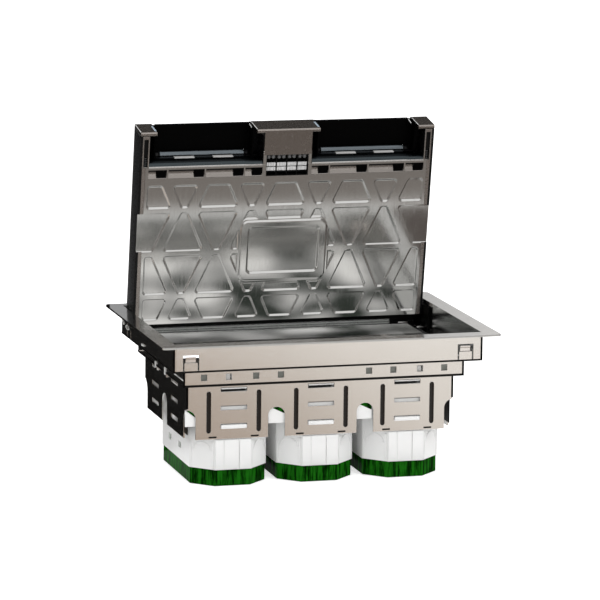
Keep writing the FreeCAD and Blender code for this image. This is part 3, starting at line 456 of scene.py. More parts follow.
def lay_floor():
    """A wide white floor just under the part."""
    mesh = bpy.data.meshes.new("floor")
    mesh.from_pydata(lying(-FLOOR_REACH, FLOOR_REACH, -FLOOR_REACH, FLOOR_REACH, FLOOR_LEVEL),
                     [], [(0, 1, 2, 3)])
    floor = bpy.data.objects.new("floor", mesh)
    bpy.context.collection.objects.link(floor)
    made, tree, shader = new_finish("studio_floor")
    mesh.materials.append(made)
    shader.inputs["Base Color"].default_value = (0.9, 0.9, 0.9, 1)
    shader.inputs["Roughness"].default_value = 0.9
    shader.inputs["Specular IOR Level"].default_value = 0.0
    shader.inputs["Emission Color"].default_value = (1, 1, 1, 1)
    link(tree, seen_or_mirrored(tree, 0.0, 0.62), shader.inputs["Emission Strength"])


def hang_lamps():
    """Square soft lamps aimed at the box, which mirrors don't see."""
    for name, place, width, watts in LAMPS:
        lamp = bpy.data.lights.new(name, "AREA")
        lamp.shape = "RECTANGLE"
        lamp.size = width
        lamp.size_y = width
        lamp.energy = watts
        held = bpy.data.objects.new(name, lamp)
        held.visible_glossy = False
        bpy.context.collection.objects.link(held)
        held.location = place
        aim = Vector((0, 0, 0.1)) - Vector(place)
        held.rotation_euler = aim.to_track_quat("-Z", "Y").to_euler()


def stand_cards():
    """Cards that the bright sheet mirrors: in front, beside, behind and under the box."""
    low = FLOOR_LEVEL + CARD_LIFT
    flag("plate_card", lying(-0.5, 0.7, -0.95, FLANGE_FRONT, FLANGE_LEVEL), "Y",
         (-0.125, FLANGE_FRONT), (0.245, 0.222, 0.205), (0.80, 0.79, 0.77))
    flag("ear_card", lying(FLANGE_END, 0.7, FLANGE_FRONT, 0.12, FLANGE_LEVEL), "X",
         (FLANGE_END, 0.143), (0.50, 0.48, 0.46), (0.125, 0.108, 0.10))
    for name, near, back, foot, head in (("side", -0.131, 0.112, 0.10, 0.40),
                                         ("low", -0.1073, 0.0805, -0.02, 0.0835),
                                         ("mid", -0.1153, 0.0835, 0.0835, 0.0975),
                                         ("high", -0.1265, 0.0940, 0.0800, 0.1165)):
        flag(name + "_card", upright(-0.8, near, back, foot, head), "Z", (-0.02, 0.4), BLACK,
             DARK)
    for name, left, right, near, far in (("rear", -1.2, 1.2, 0.115, 1.2),
                                         ("left", -1.2, -0.15, -0.11, 0.115),
                                         ("right", 0.15, 1.2, -0.11, 0.115)):
        flag(name + "_floor", lying(left, right, near, far, low), "X", (-1.0, 1.0),
             (0.66, 0.60, 0.55), (0.66, 0.60, 0.55))
    for side in (-1, 1):
        x = 0.5 * side
        flag("wing_card" + str(side), [(x, -1.0, 0.13), (x, 0.1, 0.13), (x, 0.1, 0.95),
                                       (x, -1.0, 0.95)], "Z", (0.1, 0.9),
             (0.20, 0.19, 0.18), (0.32, 0.31, 0.30))
    depth_card()
    flag("front_card", lying(-0.9, 1.2, -0.95, -0.11, low), "X", (-0.06, 0.26),
         (0.56, 0.46, 0.385), (1.0, 0.93, 0.86))
    flag("rear_card", upright(-0.7, 1.1, 0.45, 0.02, 0.30), "X", (0.08, 0.42),
         (0.36, 0.36, 0.365), (0.85, 0.83, 0.81))
    flag("cap_card", upright(-0.7, 1.1, 0.45, 0.30, 1.10), "X", (-0.5, 1.0),
         (0.080, 0.076, 0.073), (0.090, 0.086, 0.083))


def set_camera(scene):
    """A long lens in front of the box, to its left and a little above."""
    lens = bpy.data.cameras.new("camera")
    lens.sensor_width = 36.0
    lens.lens = 249.43
    held = bpy.data.objects.new("camera", lens)
    bpy.context.collection.objects.link(held)
    right = Vector((0.96334184, -0.26808633, 0.01011089))
    up = Vector((0.03739436, 0.17150245, 0.98447375))
    behind = Vector((-0.26565799, -0.94800666, 0.1752404))
    turn = Matrix((right, up, behind)).transposed()
    held.matrix_world = Matrix.Translation((-0.88740, -3.16570, 0.72070)) @ turn.to_4x4()
    scene.camera = held


class FLOORBOX_OT_stage(bpy.types.Operator):
    """Floor, backdrop, lamps, cards and camera"""
    bl_idname = "floorbox.stage"
    bl_label = "Studio"

    def execute(self, context):
        context.scene.view_settings.view_transform = "Standard"
        light_world(context.scene)
        lay_floor()
        hang_lamps()
        stand_cards()
        set_camera(context.scene)
        return {"FINISHED"}


# ------------------------------------------------------------------ lid frame
HINGE = Vector(frame["joints"][0]["pos_m"])
OPEN = math.radians(frame["joints"][0]["range_deg"][1])
LID = Matrix.Translation(HINGE) @ Matrix.Rotation(math.pi - OPEN, 4, "X")


def lid_point(x, y, z):
    """A point given in the lid's own millimetres: across, from the hinge out, into the box."""
    return LID @ Vector((x * MM, y * MM, z * MM))


# Places on the lid in its own millimetres: x across, y out from the hinge, z into the box
GRIP_HALF = 17.6
OUTLET_NEAR = 20.6
OUTLET_FAR = 115.5
CHANNEL_MIDDLE = 117.75
FREE_EDGE = 160.15
SILL_START = (130.6, 14.3)
SILL_RUN = 4.3
SILL_DROP = 9.7
FLAP_AXIS = (134.7, -4.5)
BAND_RADIUS = 3.3
RAMP_HEAD = 128.3
RAMP_FOOT = 120.6
RAMP_FLOOR = 12.8
RAMP_FACE = 15.3
LATCH_WIDTH = 8.3
LATCH_FACE = 14.5
TAB_PLACES = (51.6, 83.8)
TAB_HALF = 8.3
# Black fills of an outlet, partly walls and partly painted shade, each from its start to its end
# along the lid, back and front
CHEEK = (131.8, 159.9, -8.3, 6.5)
LINING = (137.9, 159.9, -5.7, -5.0)
STOP = (131.7, 138.8, -5.7, -5.0)
FILLER = (129.4, 131.9, -8.35, -7.5)


# ------------------------------------------------------------------ pressed plate
PLATE_FACE = 15.0
CELL_PITCH = 56.0
CELL_RISE = 36.8
CELL_FIRST = 22.3
CELL_HEIGHT = 32.2
CELL_FOOT = 16.6
CELL_TIP = 2.4
CELL_ROUND = 2.3
FIELD = (115.3, 0.4, 114.3)
MEDAL = (36.0, 25.4, 56.7, 6.2)
MEDAL_INNER = (29.7, 19.3, 57.3, 3.6)
MEDAL_MARGIN = 2.4
MEDAL_RISE = 0.8
MEDAL_SLOPE = 1.8
INNER_DROP = 1.4
INNER_SLOPE = 1.6
EAR_ROW = 1
EAR_COLUMN = 4
EAR_REACH = 12.0
OVERRUN = 20.0
GRID_STEP = 0.72
PLATE_SHEET = 1.2
WINDOW_ROW = (120.7, 128.2)
WINDOWS = ((20.6, 35.0), (36.1, 67.6), (68.8, 98.8), (100.0, 115.4))


def clipped(points, axis, limit, sign):
    """A convex outline cut off at one straight limit."""
    kept = []
    for here, there in zip(points, points[1:] + points[:1]):
        a = (here[axis] - limit) * sign
        b = (there[axis] - limit) * sign
        if a <= 0:
            kept.append(here)
        if a * b < 0:
            share = a / (a - b)
            kept.append((here[0] + (there[0] - here[0]) * share,
                         here[1] + (there[1] - here[1]) * share))
    return kept


def cell_outlines():
    """Outlines of every pressed cell, cut off at the field's edges."""
    found = []
    half, low, high = FIELD
    for row in range(-1, 3):
        foot_y = CELL_FIRST + CELL_RISE * row
        top_y = foot_y + CELL_HEIGHT
        for column in range(-5, 6):
            middle = CELL_PITCH / 2 * column
            rises = (column + row) % 2 == 0
            foot, tip = (CELL_FOOT, CELL_TIP) if rises else (CELL_TIP, CELL_FOOT)
            shape = [(middle - foot, foot_y), (middle + foot, foot_y),
                     (middle + tip, top_y), (middle - tip, top_y)]
            edge = half if row != EAR_ROW else half + EAR_REACH
            if row == EAR_ROW and abs(column) == EAR_COLUMN:
                side = math.copysign(1, column)
                far = side * (half + OVERRUN)
                shape = [(middle - side * foot, foot_y), (far, foot_y), (far, top_y),
                         (middle - side * tip, top_y)]
                if side < 0:
                    shape = [shape[1], shape[0], shape[3], shape[2]]
            for axis, limit, sign in ((0, edge, 1), (0, -edge, -1), (1, high, 1), (1, low, -1)):
                shape = clipped(shape, axis, limit, sign)
            if len(shape) > 2:
                found.append(shape)
    return found


def outline_distance(points, x, y):
    """Signed distance to a closed outline, less than nothing inside."""
    best = np.full(x.shape, 1e9)
    inside = np.ones(x.shape, bool)
    for (ax, ay), (bx, by) in zip(points, points[1:] + points[:1]):
        ex, ey = bx - ax, by - ay
        wx, wy = x - ax, y - ay
        share = np.clip((wx * ex + wy * ey) / (ex * ex + ey * ey), 0, 1)
        best = np.minimum(best, np.hypot(wx - ex * share, wy - ey * share))
        inside &= (ex * wy - ey * wx) >= 0
    return np.where(inside, -best, best)


def shrunk(points, inset):
    """A convex outline moved inwards."""
    made = []
    count = len(points)
    for i in range(count):
        lines = []
        for a, b in ((points[i - 1], points[i]), (points[i], points[(i + 1) % count])):
            ex, ey = b[0] - a[0], b[1] - a[1]
            long = math.hypot(ex, ey)
            nx, ny = -ey / long, ex / long
            lines.append((nx, ny, nx * a[0] + ny * a[1] + inset))
        (a, b, c), (d, e, f) = lines
        across = a * e - b * d
        if abs(across) < 1e-9:
            made.append((points[i][0] + a * inset, points[i][1] + b * inset))
        else:
            made.append(((c * e - b * f) / across, (a * f - c * d) / across))
    return made


def block_distance(block, x, y):
    """Signed distance to an upright rectangle with round corners."""
    half_x, half_y, middle, radius = block
    dx = np.abs(x) - half_x + radius
    dy = np.abs(y - middle) - half_y + radius
    outside = np.hypot(np.maximum(dx, 0), np.maximum(dy, 0))
    return outside + np.minimum(np.maximum(dx, dy), 0) - radius


def eased(value):
    """A smooth step from 0 to 1."""
    value = np.clip(value, 0, 1)
    return value * value * (3 - 2 * value)


def press_height(x, y):
    """Height of the pressed face over its flat, in millimetres."""
    wide = sizes().press_round / MM
    depth = sizes().press_depth / MM
    sunk = np.full(x.shape, 9.0)
    for shape in cell_outlines():
        near = outline_distance(shrunk(shape, CELL_ROUND), x, y) - CELL_ROUND
        sunk = np.minimum(sunk, near)
    medal = block_distance(MEDAL, x, y)
    sunk = np.maximum(sunk, MEDAL_MARGIN - medal)
    height = -depth * eased(0.5 - sunk / wide)
    height += MEDAL_RISE * eased(0.5 - medal / MEDAL_SLOPE)
    height -= INNER_DROP * eased(0.5 - block_distance(MEDAL_INNER, x, y) / INNER_SLOPE)
    return height


def spaced(marks, step):
    """Grid lines through every mark, no further apart than a step."""
    marks = sorted(set(round(m, 4) for m in marks))
    lines = [marks[0]]
    for low, high in zip(marks, marks[1:]):
        parts = max(1, math.ceil((high - low) / step - 1e-6))
        lines += [low + (high - low) * (i + 1) / parts for i in range(parts)]
    return np.array(lines)


def plate_windows():
    """Openings in the plate's top margin: left, right, low and high."""
    low, high = WINDOW_ROW
    found = []
    for near, far in WINDOWS:
        found += [(near, far, low, high), (-far, -near, low, high)]
    found.append((-GRIP_HALF, GRIP_HALF, low - 0.2, 131.0))
    return found


def set_press_normals(mesh):
    """Give the pressed face the exact slope of its rounded cells, and its rim flat normals."""
    back = LID.inverted()
    spots = np.array([(back @ v.co)[:2] for v in mesh.vertices]) / MM
    x, y = spots[:, 0], spots[:, 1]
    step = 0.04
    slope_x = (press_height(x + step, y) - press_height(x - step, y)) / (2 * step)
    slope_y = (press_height(x, y + step) - press_height(x, y - step)) / (2 * step)
    turn = LID.to_3x3()
    face = turn @ Vector((0, 0, 1))
    normals = []
    for poly in mesh.polygons:
        flat = abs(poly.normal.dot(face)) < 0.3
        for index in poly.loop_indices:
            v = mesh.loops[index].vertex_index
            if flat:
                normals.append(poly.normal[:])
            else:
                normals.append((turn @ Vector((-slope_x[v], -slope_y[v], 1)).normalized())[:])
    mesh.normals_split_custom_set(normals)


def build_plate():
    """The pressed plate as one sheet with rounded cells and crisp windows."""
    half_plate, ear_half = 118.0, 122.7
    ear_low, ear_high = 59.1, 91.3
    low, high, margin = -3.6, 130.2, 116.0
    windows = plate_windows()
    columns = [-ear_half, ear_half, -half_plate, half_plate]
    rows = [low, high, ear_low, ear_high, margin]
    for left, right, bottom, top in windows:
        columns += [left, right]
        rows += [bottom, min(top, high)]
    xs = spaced(columns, GRID_STEP)
    ys = spaced(rows, GRID_STEP)
    grid_x, grid_y = np.meshgrid(xs, ys, indexing="ij")
    height = press_height(grid_x, grid_y)
    made = bmesh.new()
    verts = {}

    def vert(i, j):
        if (i, j) not in verts:
            verts[i, j] = made.verts.new(
                lid_point(xs[i], ys[j], PLATE_FACE + float(height[i, j])))
        return verts[i, j]

    for i in range(len(xs) - 1):
        for j in range(len(ys) - 1):
            x = (xs[i] + xs[i + 1]) / 2
            y = (ys[j] + ys[j + 1]) / 2
            if abs(x) > half_plate and not ear_low < y < ear_high:
                continue
            if any(a < x < b and c < y < d for a, b, c, d in windows):
                continue
            made.faces.new((vert(i, j), vert(i + 1, j), vert(i + 1, j + 1), vert(i, j + 1)))
    bmesh.ops.dissolve_limit(made, angle_limit=math.radians(0.6), verts=made.verts,
                             edges=[e for e in made.edges if not e.is_boundary])
    inward = (lid_point(0, 0, -1) - lid_point(0, 0, 0)).normalized()
    rim = [e for e in made.edges if e.is_boundary]
    grown = bmesh.ops.extrude_edge_only(made, edges=rim)["geom"]
    new_edges = [g for g in grown if isinstance(g, bmesh.types.BMEdge)]
    for v in {v for e in new_edges for v in e.verts if e.is_boundary}:
        v.co += inward * PLATE_SHEET * MM
    for f in made.faces:
        f.smooth = True
    made.normal_update()
    mesh = bpy.data.meshes.new("pressed_plate")
    made.to_mesh(mesh)
    made.free()
    set_press_normals(mesh)
    return mesh


class FLOORBOX_OT_plate(bpy.types.Operator):
    """The lid's pressed stiffener plate"""
    bl_idname = "floorbox.plate"
    bl_label = "Pressed Plate"

    def execute(self, context):
        place_mesh("pressed_plate", build_plate(), "plate", "lid", "lid_stiffener_plate")
        return {"FINISHED"}


# ------------------------------------------------------------------ fine pieces
def finished_mesh(name, made, place, keep_angle=40.0):
    """Turn a piece drawn in millimetres into a placed mesh with crisp and soft edges."""
    bmesh.ops.recalc_face_normals(made, faces=made.faces)
    for f in made.faces:
        f.smooth = True
    for e in made.edges:
        if len(e.link_faces) == 2:
            e.smooth = e.calc_face_angle(0) < math.radians(keep_angle)
    made.transform(place @ Matrix.Scale(MM, 4))
    mesh = bpy.data.meshes.new(name)
    made.to_mesh(mesh)
    made.free()
    return mesh


def add_block(made, low, high, bend=0.0, segments=2):
    """A block between two corners, with its edges rounded."""
    corners = [made.verts.new((x, y, z)) for x in (low[0], high[0]) for y in (low[1], high[1])
               for z in (low[2], high[2])]
    faces = []
    for ring in ((0, 1, 3, 2), (4, 6, 7, 5), (0, 4, 5, 1), (2, 3, 7, 6), (0, 2, 6, 4),
                 (1, 5, 7, 3)):
        faces.append(made.faces.new([corners[i] for i in ring]))
    if bend:
        edges = {e for f in faces for e in f.edges}
        bmesh.ops.bevel(made, geom=list(edges), offset=bend, segments=segments,
                        affect="EDGES", profile=0.5, clamp_overlap=True)


def join_rings(made, rings):
    """Walls between rings that have as many points each."""
    count = len(rings[0])
    for here, there in zip(rings, rings[1:]):
        for i in range(count):
            j = (i + 1) % count
            made.faces.new((here[i], here[j], there[j], there[i]))


def close_ends(made, rings):
    """Flat ends on a run of rings."""
    made.faces.new(rings[0][::-1])
    made.faces.new(rings[-1])


def ring_round(made, point, side, other, radius, sides):
    """A ring of corners round a point, in the plane of two directions."""
    return [made.verts.new(point + (side * math.cos(a) + other * math.sin(a)) * radius)
            for a in [math.tau * k / sides for k in range(sides)]]


def add_tube(made, path, radius, sides=8):
    """A round wire along a path of points."""
    rings = []
    for i, point in enumerate(path):
        way = (path[min(i + 1, len(path) - 1)] - path[max(i - 1, 0)]).normalized()
        side = way.orthogonal() if abs(way.x) > 0.9 else way.cross(Vector((1, 0, 0)))
        side.normalize()
        rings.append(ring_round(made, point, side, way.cross(side), radius, sides))
    join_rings(made, rings)
    close_ends(made, rings)


def mirrored(side, near, far):
    """The left and right ends of a span that lies on one side of the middle."""
    return sorted((near * side, far * side))


def build_springs():
    """Two coil springs in the channels beside the outlets."""
    made = bmesh.new()
    turns, fine, radius, wire, start, length = 5, 16, 1.35, 0.3, 131.6, 7.4
    along = Vector((0, 1, 0))
    for side in (-1, 1):
        rings = []
        for i in range(turns * fine + 1):
            angle = math.tau * i / fine
            out = Vector((math.cos(angle), 0, math.sin(angle)))
            middle = Vector((CHANNEL_MIDDLE * side, start + length * i / (turns * fine), 12.6))
            rings.append(ring_round(made, middle + out * radius, out, along, wire, 6))
        join_rings(made, rings)
        close_ends(made, rings)
    return finished_mesh("coil_springs", made, LID)


def build_spring_beds():
    """Black beds of the channels that the springs lie in."""
    made = bmesh.new()
    for side in (-1, 1):
        left, right = mirrored(side, 115.6, 119.9)
        add_block(made, (left, 130.8, 9.0), (right, 156.4, 10.4))
        add_block(made, (left, 139.2, 9.0), (right, 156.4, 13.6))
    return finished_mesh("spring_beds", made, LID)


def add_profile(made, points, left, right):
    """A sheet or bar with one section, drawn as (y, z), from left to right."""
    rings = [[made.verts.new((x, y, z)) for y, z in points] for x in (left, right)]
    join_rings(made, rings)
    close_ends(made, rings)


GRILLE_HALF = 17.4
GRILLE_CELL = GRILLE_HALF / 2
GRILLE_FOOT = 120.9
GRILLE_HEAD = 138.2


def build_grille():
    """The bright grille under the grip: two rows of small fins in four columns."""
    made = bmesh.new()
    for i in range(4):
        middle = (i - 1.5) * GRILLE_CELL
        left, right = middle - GRILLE_CELL / 2 + 0.45, middle + GRILLE_CELL / 2 - 0.45
        for high, low, cuts in ((131.1, 127.9, (0.28, 0.45, 0.62, 0.80)),
                                (127.3, 124.1, (0.2, 0.38, 0.55, 0.84))):
            add_block(made, (left, low, 9.0), (right, high, 12.0), 0.1, 1)
            edges = [0.0] + [c + 0.05 * ((i * 7 + k * 3) % 3 - 1) for k, c in enumerate(cuts)]
            for near, far in zip(edges, edges[1:] + [1.0]):
                add_block(made, (left + (right - left) * near + 0.12, low + 0.25, 9.0),
                          (left + (right - left) * far - 0.12, high, 13.0), 0.15, 1)
    return finished_mesh("grip_comb", made, LID)


def build_lobes():
    """Rounded lobes over the grille's fins."""
    made = bmesh.new()
    for i in range(4):
        for k in (-1, 1):
            x = (i - 1.5 + k * 0.23) * GRILLE_CELL
            add_block(made, (x - 1.5, 134.0, 8.0), (x + 1.5, 137.5, 12.6), 1.2, 3)
    return finished_mesh("grip_lobes", made, LID)


def build_grille_bed():
    """The dark bed and dividers of the grille."""
    made = bmesh.new()
    half, bar = GRILLE_HALF, 0.3
    add_block(made, (-half, GRILLE_FOOT, 6.0), (half, GRILLE_HEAD, 6.8))
    for i in range(5):
        x = min(max((i - 2) * GRILLE_CELL, bar - half), half - bar)
        add_block(made, (x - bar, GRILLE_FOOT, 6.0), (x + bar, GRILLE_HEAD, 13.2), 0.1, 1)
    for low, high, front in ((123.4, 124.0, 13.4), (131.2, 131.7, 12.6)):
        add_block(made, (-half, low, 6.0), (half, high, front), 0.1, 1)
    return finished_mesh("grille_bed", made, LID)


def build_margin_folds():
    """Folded steel of the plate's top: its edge over the sills and the frames beside it."""
    made = bmesh.new()
    fold = [(129.3, 14.9), (130.0, 15.1), (130.5, 14.9), (130.9, 14.2), (130.5, 14.0),
            (129.3, 14.2)]
    for side in (-1, 1):
        add_profile(made, fold, *mirrored(side, 20.8, 115.2))
        left, right = mirrored(side, GRIP_HALF, 20.2)
        add_block(made, (left, 120.4, 13.9), (right, 141.5, 14.7), 0.15)
        for x in (115.45, 120.1):
            add_block(made, (side * x - 0.28, SILL_START[0], 14.2),
                      (side * x + 0.28, 156.5, 15.05), 0.15, 1)
        left, right = mirrored(side, 115.4, 120.3)
        add_block(made, (left, 130.1, 14.0), (right, 130.9, 15.0), 0.15, 1)
    return finished_mesh("margin_folds", made, LID)


def build_window_latches():
    """Black latch blocks with fine strokes in the right part of each window."""
    made = bmesh.new()
    for side in (-1, 1):
        for near, far in WINDOWS:
            right = far if side > 0 else -near
            edge = right - 0.3
            add_block(made, (edge - LATCH_WIDTH, 121.3, RAMP_FLOOR + 0.1),
                      (edge, 128.1, LATCH_FACE), 0.3)
            for x in (edge - 7.3, edge - 4.1):
                add_tube(made, [Vector((x, 127.2, LATCH_FACE)),
                                Vector((x + 2.6, 122.2, LATCH_FACE))], 0.14, 6)
    return finished_mesh("window_latches", made, LID)


def build_window_shades():
    """Painted shade: dark blocks along the upper edges of the window ramps."""
    made = bmesh.new()
    for side in (-1, 1):
        left, right = mirrored(side, OUTLET_NEAR, OUTLET_FAR)
        add_block(made, (left, RAMP_HEAD - 2.0, RAMP_FLOOR), (right, RAMP_HEAD, 13.5), 0.25)
    return finished_mesh("window_shades", made, LID)


def build_window_ramps():
    """Curved steel ramps in the windows."""
    made = bmesh.new()
    angles = [math.pi / 2 * k / 12 for k in range(12)]
    run, rise, under = RAMP_HEAD - RAMP_FOOT, RAMP_FACE - RAMP_FLOOR, RAMP_FLOOR - 0.2
    curve = [(RAMP_HEAD - run * math.sin(a), RAMP_FACE - rise * math.cos(a)) for a in angles]
    for side in (-1, 1):
        add_profile(made, curve + [(RAMP_FOOT, under), (RAMP_HEAD, under)],
                    *mirrored(side, OUTLET_NEAR, OUTLET_FAR))
    return finished_mesh("window_ramps", made, LID, 30)


def build_sill(low, high):
    """A stretch of the sills' rounded surface, from one share of its run to another."""
    made = bmesh.new()
    angles = [math.pi / 2 * (low + (high - low) * k / 8) for k in range(9)]
    face = [(SILL_START[0] + SILL_RUN * math.sin(a),
             SILL_START[1] - SILL_DROP * (1 - math.cos(a))) for a in angles]
    under = [(y - 0.3, z - 0.3) for y, z in reversed(face)]
    for side in (-1, 1):
        add_profile(made, face + under, *mirrored(side, OUTLET_NEAR, 115.1))
    return finished_mesh("sill", made, LID, 30)


def build_outlet_cheeks():
    """Black cheeks, stops and fillers that close the outlets round the flaps, black partly as
    moulding and partly as painted shade of the outlets.
    """
    made = bmesh.new()
    for (low, high, back, front), spans in ((CHEEK, ((26.7, 28.1), (108.6, 109.5))),
                                            (LINING, ((26.4, 29.4), (105.4, 109.3))),
                                            (STOP, ((27.3, 31.9), (102.9, 107.5))),
                                            (FILLER, ((27.3, 31.7), (103.1, 107.5)))):
        for left, right in [mirrored(side, *span) for span in spans for side in (-1, 1)]:
            add_block(made, (left, low, back), (right, high, front), 0.2, 1)
    return finished_mesh("outlet_cheeks", made, LID)


def build_flap_sheen_band(side):
    """A thin cover over a flap's hinge barrel, light bluish grey as a painted sheen."""
    made = bmesh.new()
    angles = [math.radians(5 + 145 * k / 12) for k in range(13)]
    arcs = [[(FLAP_AXIS[0] + radius * math.cos(a), FLAP_AXIS[1] + radius * math.sin(a))
             for a in angles] for radius in (BAND_RADIUS, BAND_RADIUS * 0.9)]
    add_profile(made, arcs[0] + arcs[1][::-1], *mirrored(side, 32.6, 102.4))
    return finished_mesh("flap_sheen_band", made, LID, 30)


def build_tabs():
    """Bright hooked tabs over the sills."""
    made = bmesh.new()
    hook = [(134.9, 6.4), (135.5, 5.6), (135.5, 2.6), (135.1, 2.6), (134.7, 5.6), (134.2, 6.2)]
    for side in (-1, 1):
        for middle in TAB_PLACES:
            add_profile(made, hook, middle * side - TAB_HALF, middle * side + TAB_HALF)
    return finished_mesh("sill_hooks", made, LID)


def build_lip_glints():
    """Painted highlights along the caps' and the grip's left ends and on the cheeks."""
    made = bmesh.new()
    for x in (-122.75, -26.4, 109.25):
        add_block(made, (x, 159.6, -6.5), (x + 0.55, FREE_EDGE, 13.2), 0.15, 1)
    for x in (-28.3, 106.2):
        add_tube(made, [Vector((x, 159.2, -4.0)), Vector((x, 158.4, 3.0))], 0.35)
    return finished_mesh("end_glints", made, LID)


def build_cap_ends():
    """Light bluish-grey blocks at the right ends of the left cap and of the grip: a painted
    reflection on their end bevels.
    """
    made = bmesh.new()
    for x in (-109.2, 26.4):
        add_block(made, (x - 1.7, 159.5, -2.0), (x + 0.1, FREE_EDGE, 11.5), 0.25, 1)
    return finished_mesh("cap_ends", made, LID)


class FLOORBOX_OT_lid_fittings(bpy.types.Operator):
    """Springs, grille, latches, sills, folds and painted sheen bands over the flaps of the lid,
    with painted shade and highlights
    """
    bl_idname = "floorbox.lid_fittings"
    bl_label = "Lid Fittings"

    def execute(self, context):
        place_mesh("coil_springs", build_springs(), "coil", "lid", "outlet_springs")
        place_mesh("grip_comb", build_grille(), "comb", "lid", "grip_grille")
        place_mesh("grip_lobes", build_lobes(), "lobe", "lid")
        place_mesh("grille_bed", build_grille_bed(), "shadow", "lid")
        place_mesh("spring_beds", build_spring_beds(), "shadow", "lid")
        place_mesh("margin_folds", build_margin_folds(), "plate", "lid")
        place_mesh("window_latches", build_window_latches(), "flap", "lid")
        place_mesh("window_ramps", build_window_ramps(), "ramp", "lid")
        place_mesh("window_shades", build_window_shades(), "bead", "lid")
        # The sill is split into a nose of painted sheen and a slope of painted shade
        place_mesh("sill_nose", build_sill(0.0, 0.42), "sill", "lid")
        place_mesh("sill_slope", build_sill(0.42, 1.0), "sill_dark", "lid")
        place_mesh("outlet_cheeks", build_outlet_cheeks(), "flap", "lid")
        place_mesh("sill_hooks", build_tabs(), "hook", "lid", "sill_tabs")
        place_mesh("end_glints", build_lip_glints(), "glint", "lid")
        place_mesh("cap_ends", build_cap_ends(), "cap_end", "lid")
        for side, name in ((-1, "left"), (1, "right")):
            place_mesh(name + "_flap_sheen_band", build_flap_sheen_band(side), "barrel", name + "_flap")
        return {"FINISHED"}


# ------------------------------------------------------------------ housing pieces
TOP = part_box("trim_frame")[1][2] / MM
CUPS = (-71.3, 0.0, 71.3)
CARRIER_FRONT = -63.8
CARRIER_REAR = 79.0
SKIRT_HALF = 126.0
SKIRT_FRONT = -86.8
SKIRT_REAR = 92.2
SKIRT_FOOT = 22.9
STEP_HALF = 114.8
STEP_FRONT = -74.5
STEP_REAR = 81.7
STEP_FOOT = 37.0
BEAD_PLACE = 20.4
BEAD_HEAD = 42.6
BEAD_FOOT = 77.0
BEAD_RADIUS = 1.85
SLOT_PLACE = 17.2
SLOT_HALF = 3.2
LATCH_HALF = 10.4
SLEEVE_FOOT = 106.4
PAD_HEAD = 82.4
CORNER_HEAD = 84.0
ARCH_LEVEL = 92.0
CORNER_NEAR = 15.0
CORNER_FAR = 31.5
HOLE_PLACES = (36.1, 56.2, 98.4)
LIT_HOLE = 78.3
HOLE_HALF = 2.4
LEDGE_HALF = 102.0
ARCH_PLACES = (-35.6, 35.6)
LEFT_ARCH = -106.2
SHROUD_LOW, SHROUD_HIGH = ([v / MM for v in corner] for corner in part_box("hinge_shroud"))
HOUSING = Matrix.Identity(4)
# The tongues' two faces and the way out of each
TONGUE_FACES = ((CARRIER_FRONT, -1), (CARRIER_REAR, 1))


def level(depth):
    """The height of a level below the flange, in millimetres."""
    return TOP - depth


def round_rect(half, front, rear, bend, fine=6):
    """Points round an upright-cornered tray, counted from the front right corner."""
    points = []
    for cx, cy, start in ((half - bend, front + bend, -90), (half - bend, rear - bend, 0),
                          (-half + bend, rear - bend, 90), (-half + bend, front + bend, 180)):
        for i in range(fine + 1):
            angle = math.radians(start + 90 * i / fine)
            points.append((cx + bend * math.cos(angle), cy + bend * math.sin(angle)))
    return points


def build_tier_edge_shades():
    """Painted shade: black strips along the rolled lower edges of the two tiers, where shade and
    dark reflection fall.
    """
    made = bmesh.new()
    for half, front, rear, depth, tall in ((SKIRT_HALF, SKIRT_FRONT, SKIRT_REAR, SKIRT_FOOT, 1.5),
                                           (STEP_HALF, STEP_FRONT, STEP_REAR, STEP_FOOT, 1.9)):
        rings = []
        for k in range(7):
            bulge = 0.28 * math.sin(math.pi * k / 6) + 0.02
            z = level(depth) + tall * k / 6 - 0.02
            rings.append([made.verts.new((x, y, z)) for x, y in
                          round_rect(half + bulge, front - bulge, rear + bulge, 2.5 + bulge)])
        join_rings(made, rings)
    return finished_mesh("tier_edge_shades", made, HOUSING)


def add_bowl(made, x, face, low, high, radius, depth, way):
    """A shallow pressed bead with round ends, seen from outside."""
    fine = 8
    rings = []
    for share in (1.0, 0.93, 0.8, 0.6, 0.35, 0.12):
        r = radius * share
        sunk = face + way * depth * math.sqrt(1 - share * share)
        turns = [(centre, math.radians(start + 180 * i / fine))
                 for centre, start in ((high - radius, 0), (low + radius, 180))
                 for i in range(fine + 1)]
        rings.append([made.verts.new((x + r * math.cos(a), sunk, centre + r * math.sin(a)))
                      for centre, a in turns])
    join_rings(made, rings)
    made.faces.new(rings[-1])


def build_beads():
    """Pressed beads of the carrier's tongues, in dark steel that paints in the dark reflection
    they show.
    """
    made = bmesh.new()
    for middle in CUPS:
        for side in (-1, 1):
            for face, out in TONGUE_FACES:
                add_bowl(made, middle + BEAD_PLACE * side, face + 0.06 * out, level(BEAD_FOOT),
                         level(BEAD_HEAD), BEAD_RADIUS, 1.0, -out)
    return finished_mesh("tongue_beads", made, HOUSING, 60)


def build_foot_slot_shades():
    """Black pads of painted shade that stand for the slots near the feet of the tongues."""
    made = bmesh.new()
    for middle in CUPS:
        for side in (-1, 1):
            x = middle + SLOT_PLACE * side
            for face, out in TONGUE_FACES:
                near, far = sorted((face, face + 0.25 * out))
                add_block(made, (x - SLOT_HALF, near, level(80.6)),
                          (x + SLOT_HALF, far, level(79.3)), 0.1, 1)
    return finished_mesh("foot_slot_shades", made, HOUSING)


